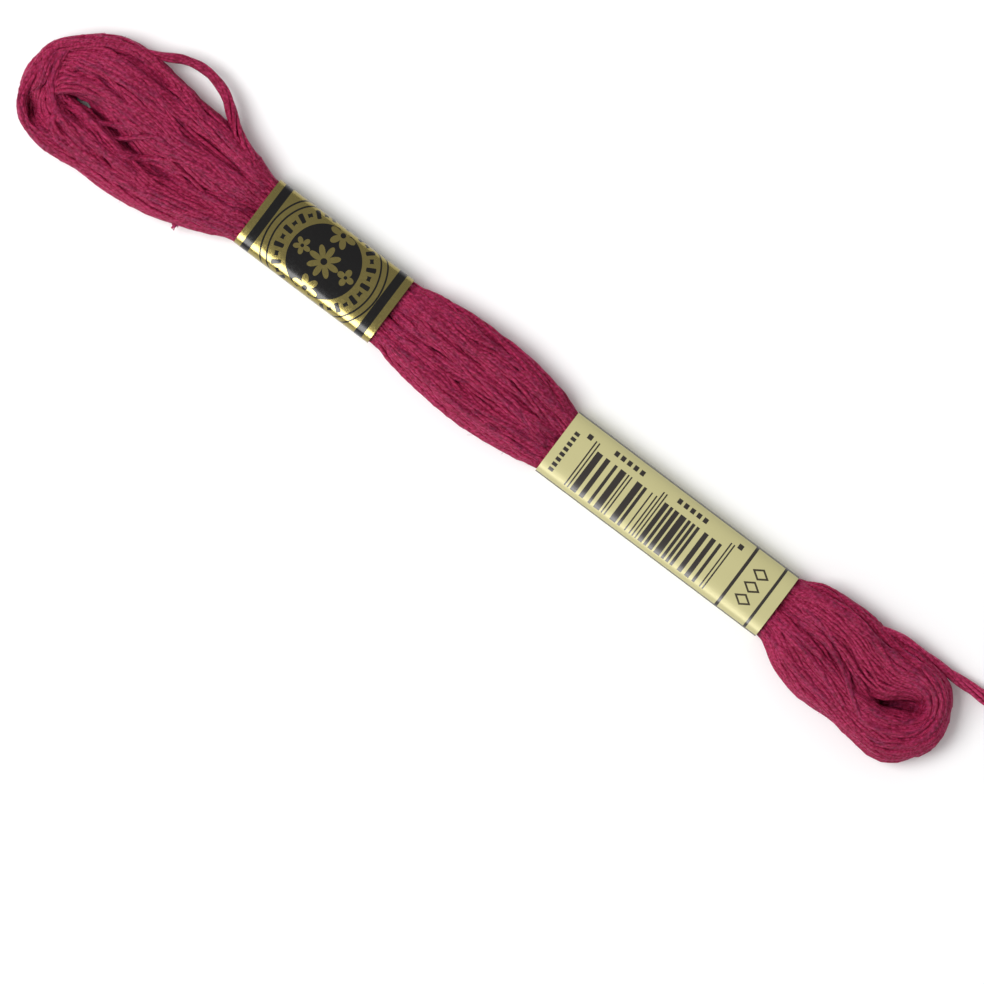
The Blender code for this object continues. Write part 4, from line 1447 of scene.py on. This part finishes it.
def bars():
    """Made-up bars as rows of (start, end, lowest, highest), in millimetres on the flat strip."""
    rows, at = [], 0
    while at < BARS_LONG:
        wide = 1 if at in GUARDS + NARROW else int(print_rng.choice(BAR_WIDTHS))
        low, high = GUARDS_ROUND if at in GUARDS else BARS_ROUND
        wide = min(wide, BARS_LONG - at)
        rows.append((BARS_FROM + at * MODULE, BARS_FROM + (at + wide - INK_SHRINK) * MODULE, low, high))
        gap = 1 if at in GUARDS else int(print_rng.choice(GAP_WIDTHS))
        upcoming = [guard for guard in GUARDS if guard > at]
        at += wide + gap
        if upcoming and at > upcoming[0]:
            at = upcoming[0]
    return rows


prints = bars()
print(len(prints), "bars")

# %% Squares, lines and painted edge shade
SQUARE, SQUARE_STEP = 0.7, 1.15
SQUARE_ROWS, SQUARES = (19.6, 31.0), 5
SQUARES_ROUND = (3.3, 4.1)
LONE_SQUARES = [(15.0, 15.8, 2.9, 3.7), (41.9, 42.7, *SQUARES_ROUND)]
SMALL_ALONG, SMALL_FROM = (13.2, 14.0), -4.1  # a column of small marks at the end of the bars
SMALL_STEP, SMALL, SMALL_COUNT = 0.9, 0.55, 8
CROSS_LINES = [(44.15, 44.65), (49.35, 49.8)]
CROSS_ROUND = (-6.75, 6.75)
# dark strips along both long edges: painted shade where the paper curves away, not print
PAINTED_EDGE_SHADE = [(-6.4, -5.6), (5.45, 6.3)]

for start in SQUARE_ROWS:
    lefts = [start + SQUARE_STEP * k for k in range(SQUARES)]
    prints += [(left, left + SQUARE, *SQUARES_ROUND) for left in lefts]
prints += LONE_SQUARES
small = [SMALL_FROM + SMALL_STEP * k for k in range(SMALL_COUNT)]
prints += [(*SMALL_ALONG, low, low + SMALL) for low in small]
prints += [(*line, *CROSS_ROUND) for line in CROSS_LINES]
# the painted edge shade is laid down in the ink's colour, as the prints are
prints += [(*BAND_SPANS[1], *line) for line in PAINTED_EDGE_SHADE]
print(len(prints), "prints in all")

# %% The faces in the ink's colour: print and painted edge shade
cream_band, on_strip = sleeve("cream_band_sleeve", "band_cream", prints)
print_and_edge_shade = np.zeros(len(on_strip), dtype=np.int32)
for start, finish, low, high in prints:
    along = (on_strip[:, 0] > start) & (on_strip[:, 0] < finish)
    print_and_edge_shade[along & (on_strip[:, 1] > low) & (on_strip[:, 1] < high)] = 1
print(print_and_edge_shade.sum(), "of", len(print_and_edge_shade), "faces are inked")

# %% Lozenges
LOZENGE_MIDDLE, LOZENGE_HALF, LOZENGE_REPEAT = 47.0, 1.5, 2.2
LOZENGE_EDGE, LOZENGE_LINE = 0.8, 0.17  # where its outline runs, and half the outline's width, as shares
LOZENGES_WITHIN = 3.3
REPEATS_BEFORE = 46  # keeps the number above zero, where the repeat is even


def lozenges(tree):
    """The black share of the outlines of three lozenges, in the panel between the two cross lines."""
    x, y = place_on_strip(tree)
    down = node(tree, "Math", [y, REPEATS_BEFORE * LOZENGE_REPEAT], operation="ADD")
    down = node(tree, "Math", [down, LOZENGE_REPEAT / 2], operation="PINGPONG")
    across = node(tree, "Math", [x, LOZENGE_MIDDLE], operation="SUBTRACT")
    across = node(tree, "Math", [across], operation="ABSOLUTE")
    across = node(tree, "Math", [across, LOZENGE_HALF], operation="DIVIDE")
    share = node(tree, "Math", [across, down], operation="ADD")
    line = node(tree, "Math", [share, LOZENGE_EDGE, LOZENGE_LINE], operation="COMPARE")
    near = node(tree, "Math", [y, 0.0, LOZENGES_WITHIN], operation="COMPARE")
    return node(tree, "Math", [line, near], operation="MULTIPLY")


print("a lozenge every", LOZENGE_REPEAT, "mm")

# %% Cream paper
CREAM_GRAIN, CREAM_HEIGHT = 1 / 1.8, 0.03  # mm, drawn coarser: the coating's grain is too fine to show


def cream_material(name, paper, ink):
    """Coated paper: a smooth, waxy skin with a warm shine, faintly uneven from the fibres under it."""
    made, tree, shader = new_material(name)
    where = node(tree, "TexCoord", out="Object")
    grain = node(tree, "TexNoise", {"Vector": where, "Scale": 1 / (CREAM_GRAIN * MM)})
    give(tree, shader, {
        "Base Color": node(tree, "Mix", {0: lozenges(tree), 6: paper, 7: ink}, out=2, data_type="RGBA"),
        "Normal": node(tree, "Bump", {"Height": grain, "Strength": 0.2, "Distance": CREAM_HEIGHT * MM}),
        "Roughness": 0.38,  # coated paper is 0.3 to 0.5
        "Specular IOR Level": 0.65,  # a dense coating shines more than bare paper
        "Specular Tint": "fff6ce",  # warm, as the paper is
    })
    return made


cream_band.data.materials.append(cream_material("cream_coated_paper", "bcb685", "2a2420"))
print("the cream band is", cream_band.data.materials[0].name)

# %% Printing ink, which also paints the shade along the edges
ink_and_edge_shade, tree, shader = new_material("black_ink_and_painted_edge_shade")  # it fills the paper, so it is a bit glossier
give(tree, shader, {"Base Color": "2a2420", "Roughness": 0.32})
cream_band.data.materials.append(ink_and_edge_shade)
cream_band.data.polygons.foreach_set("material_index", print_and_edge_shade)
print("the bars are", ink_and_edge_shade.name)

# %% [markdown]
# ## Floor and light
#
# The skein lies on a plain white board in soft daylight. A sky picture could light it, but a few lamps are
# easier to match. A big panel overhead makes the soft shadow, and a low strip makes the shine along foil and
# paper: it is hidden from matt surfaces, and the big one from glossy ones, so each does one job. The world
# is an even white that fills the shadows.

# %% The floor
floor_mesh = bpy.data.meshes.new("floor")
bm = bmesh.new()
bmesh.ops.create_grid(bm, x_segments=1, y_segments=1, size=1.5)
bm.to_mesh(floor_mesh)
bm.free()
floor = bpy.data.objects.new("floor", floor_mesh)
bpy.context.scene.collection.objects.link(floor)
board, tree, shader = new_material("matt_white_board")  # chalky card, which shows shadows and no shine
give(tree, shader, {"Base Color": "fcfcfc", "Roughness": 0.9})
floor_mesh.materials.append(board)
print("the floor is", board.name)

# %% The world
FILL = 0.46

world = bpy.data.worlds.new("studio")
world.use_nodes = True
background = world.node_tree.nodes["Background"]
give(world.node_tree, background, {"Color": "ffffff", "Strength": FILL})
bpy.context.scene.world = world
print("the world gives", FILL, "of full light")

# %% The lamps
def panel(name, size, power, azimuth, elevation, distance):
    """A soft panel of light that faces the skein. Angles in degrees, sizes and distance in metres."""
    light = bpy.data.lights.new(name, "AREA")
    light.shape = "RECTANGLE"
    light.size, light.size_y = size
    light.energy = power
    holder = bpy.data.objects.new(name, light)
    turn, lift = math.radians(azimuth), math.radians(elevation)
    way = Vector((math.cos(lift) * math.cos(turn), math.cos(lift) * math.sin(turn), math.sin(lift)))
    holder.location = way * distance
    holder.rotation_euler = (-way).to_track_quat("-Z", "Y").to_euler()
    holder.visible_camera = False
    bpy.context.scene.collection.objects.link(holder)
    return holder


overhead = panel("overhead_softbox", (0.54, 0.54), power=7.1, azimuth=213, elevation=59, distance=0.9)
overhead.visible_glossy = False
strip = panel("strip_for_the_shine", (0.9, 0.34), power=9.0, azimuth=270, elevation=41, distance=0.62)
strip.visible_diffuse = False
print("lamps:", overhead.name, strip.name)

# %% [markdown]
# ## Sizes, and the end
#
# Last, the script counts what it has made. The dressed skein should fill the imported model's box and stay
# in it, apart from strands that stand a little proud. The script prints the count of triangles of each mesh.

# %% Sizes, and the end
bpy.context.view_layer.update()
meshes = [piece.data for piece in bpy.data.objects if piece.type == "MESH"]
triangles = {mesh.name: sum(len(face.vertices) - 2 for face in mesh.polygons) for mesh in meshes}
print("triangles:", sum(triangles.values()), triangles)
